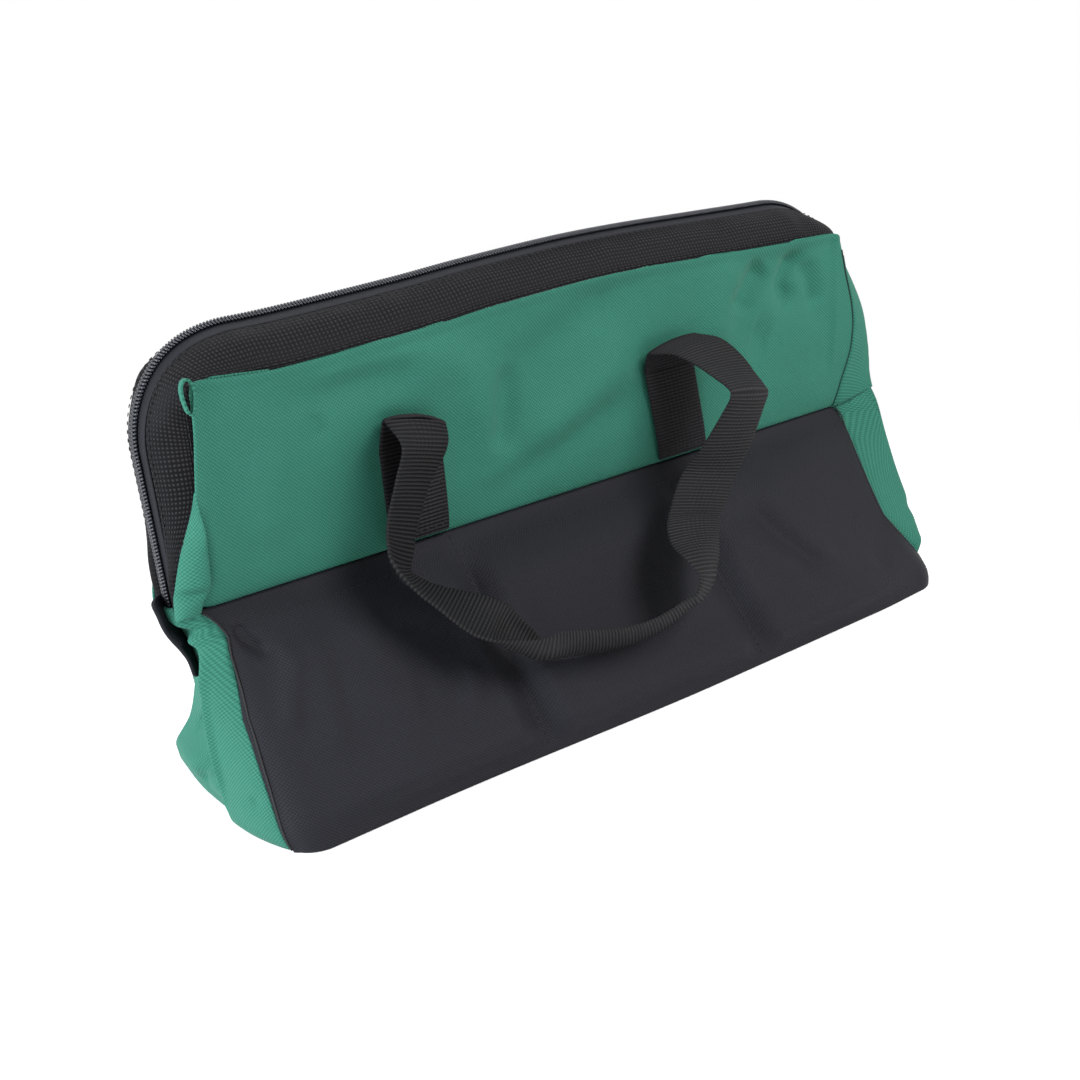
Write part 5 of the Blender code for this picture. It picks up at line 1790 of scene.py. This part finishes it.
@dataclass
class Studio:
    """Floor, lamps and camera."""

    eye: Tuple[float, float, float] = (-0.4508, -0.6464, 0.3409)
    right: Tuple[float, float, float] = (0.80091, -0.58781, -0.11406)
    up: Tuple[float, float, float] = (0.27424, 0.19077, 0.94255)
    ahead: Tuple[float, float, float] = (0.53228, 0.78618, -0.31399)
    focal_pixels: float = 1405.0
    frame_pixels: float = 1080.0
    sensor: float = 36.0
    floor_lift: float = 0.42
    floor_fade: Tuple[float, float] = (0.3, 0.62)
    surround: float = 0.26

    def build(self) -> None:
        """Builds the studio."""
        self.camera()
        self.floor()
        self.lamp("key", (0.55, -1.3, 1.25), 0.85, 27.0)
        self.lamp("fill", (-1.55, 0.05, 0.62), 0.9, 34.0, (0.9, 0.96, 1.0))
        self.lamp("top", (0.1, 0.6, 1.7), 1.2, 9.0)
        self.world()
        bpy.context.scene.view_settings.view_transform = "Standard"

    def world(self) -> None:
        """An even pale surround that is white to the eye and in gloss."""
        world = bpy.data.worlds.new("studio")
        bench = NodeBench(world)
        level = bench.node("MapRange", Value=bench.watched(), To_Min=self.surround, To_Max=1.0)
        ground = bench.tree.nodes["Background"]
        bench.feed(ground.inputs[0], (1, 1, 1, 1))
        bench.feed(ground.inputs[1], level.outputs["Result"])
        bpy.context.scene.world = world

    def camera(self) -> None:
        """The camera at the photograph's viewing angle."""
        data = bpy.data.cameras.new("camera")
        data.sensor_width = self.sensor
        data.lens = self.focal_pixels / self.frame_pixels * self.sensor
        data.clip_start = 0.01
        camera = bpy.data.objects.new("camera", data)
        back = -Vector(self.ahead)
        turn = Matrix((self.right, self.up, tuple(back))).transposed()
        camera.matrix_world = Matrix.Translation(self.eye) @ turn.to_4x4()
        bpy.context.scene.collection.objects.link(camera)
        bpy.context.scene.camera = camera

    def floor(self) -> None:
        """A white floor that takes the bag's shadow and fades into the white surround."""
        bm = bmesh.new()
        bmesh.ops.create_grid(bm, x_segments=1, y_segments=1, size=6.0)
        bmesh.ops.translate(bm, verts=bm.verts, vec=(0, 0, -0.0002))
        floor = piece_from("floor", bm)
        bench = NodeBench(bpy.data.materials.new("white_floor"))
        watched = bench.watched()
        bench.shade(Base_Color=(0.95, 0.95, 0.95, 1), Roughness=0.9, Specular_IOR_Level=0.0)
        bench.shade(Emission_Color=(1, 1, 1, 1), Emission_Strength=watched * self.floor_lift)
        distance = bench.node("VectorMath", operation="LENGTH")
        bench.feed(distance.inputs[0], bench.node("TexCoord").outputs["Object"])
        near, far = self.floor_fade
        fade = bench.node("MapRange", interpolation_type="SMOOTHSTEP", From_Min=near, From_Max=far)
        bench.feed(fade.inputs["Value"], distance.outputs["Value"])
        white = bench.node("Emission", Strength=1.0, Color=(1, 1, 1, 1))
        both = bench.node("MixShader")
        share = Wire(bench, fade.outputs["Result"]) * watched
        ends = (share, bench.shader.outputs[0], white.outputs[0])
        for socket, value in zip(both.inputs, ends):
            bench.feed(socket, value)
        bench.feed(bench.tree.nodes["Material Output"].inputs["Surface"], both.outputs[0])
        floor.data.materials.append(bench.holder)

    def lamp(
        self, name: str, place: Colour, size: float, power: float, tint: Colour = (1.0, 1.0, 1.0)
    ) -> None:
        """A square soft lamp aimed at the bag.

        Args:
            name: Its name.
            place: Where it hangs.
            size: Its side in metres.
            power: Its power in watts.
            tint: The colour of its light.
        """
        data = bpy.data.lights.new(name, "AREA")
        data.shape = "SQUARE"
        data.size = size
        data.energy = power
        data.color = tint
        lamp = bpy.data.objects.new(name, data)
        aim = Vector((0, 0, 0.1)) - Vector(place)
        lamp.location = place
        lamp.rotation_euler = aim.to_track_quat("-Z", "Y").to_euler()
        bpy.context.scene.collection.objects.link(lamp)


def keep_nodes(frame: Dict[str, object], finishes: Finishes) -> None:
    """Gives the CAD nodes that stay in view their materials.

    Args:
        finishes: The bag's materials.
    """
    kept = {
        "base_board": finishes.board,
        "front_frame_rod": finishes.steel,
        "rear_frame_rod": finishes.steel,
        "zip_slider": finishes.slider,
        "zip_pull": finishes.slider,
    }
    for name, material in kept.items():
        node = frame["nodes"][name]
        node.data.materials.clear()
        node.data.materials.append(material)


def main() -> None:
    """Builds every sub-assembly in order."""
    logging.basicConfig(level=logging.INFO, format="%(name)s %(message)s")
    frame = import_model()
    finishes = Finishes()
    shape = MouthShape()
    upper = UpperBody(shape, finishes)
    lower = LowerBody(finishes)
    handles = Handles(upper, finishes)
    trim = Trim(shape, upper, lower, handles, finishes)
    for assembly in (Mouth(shape, finishes), upper, lower, handles, trim, Studio()):
        assembly.build()
    keep_nodes(frame, finishes)


if __name__ == "__main__":
    main()
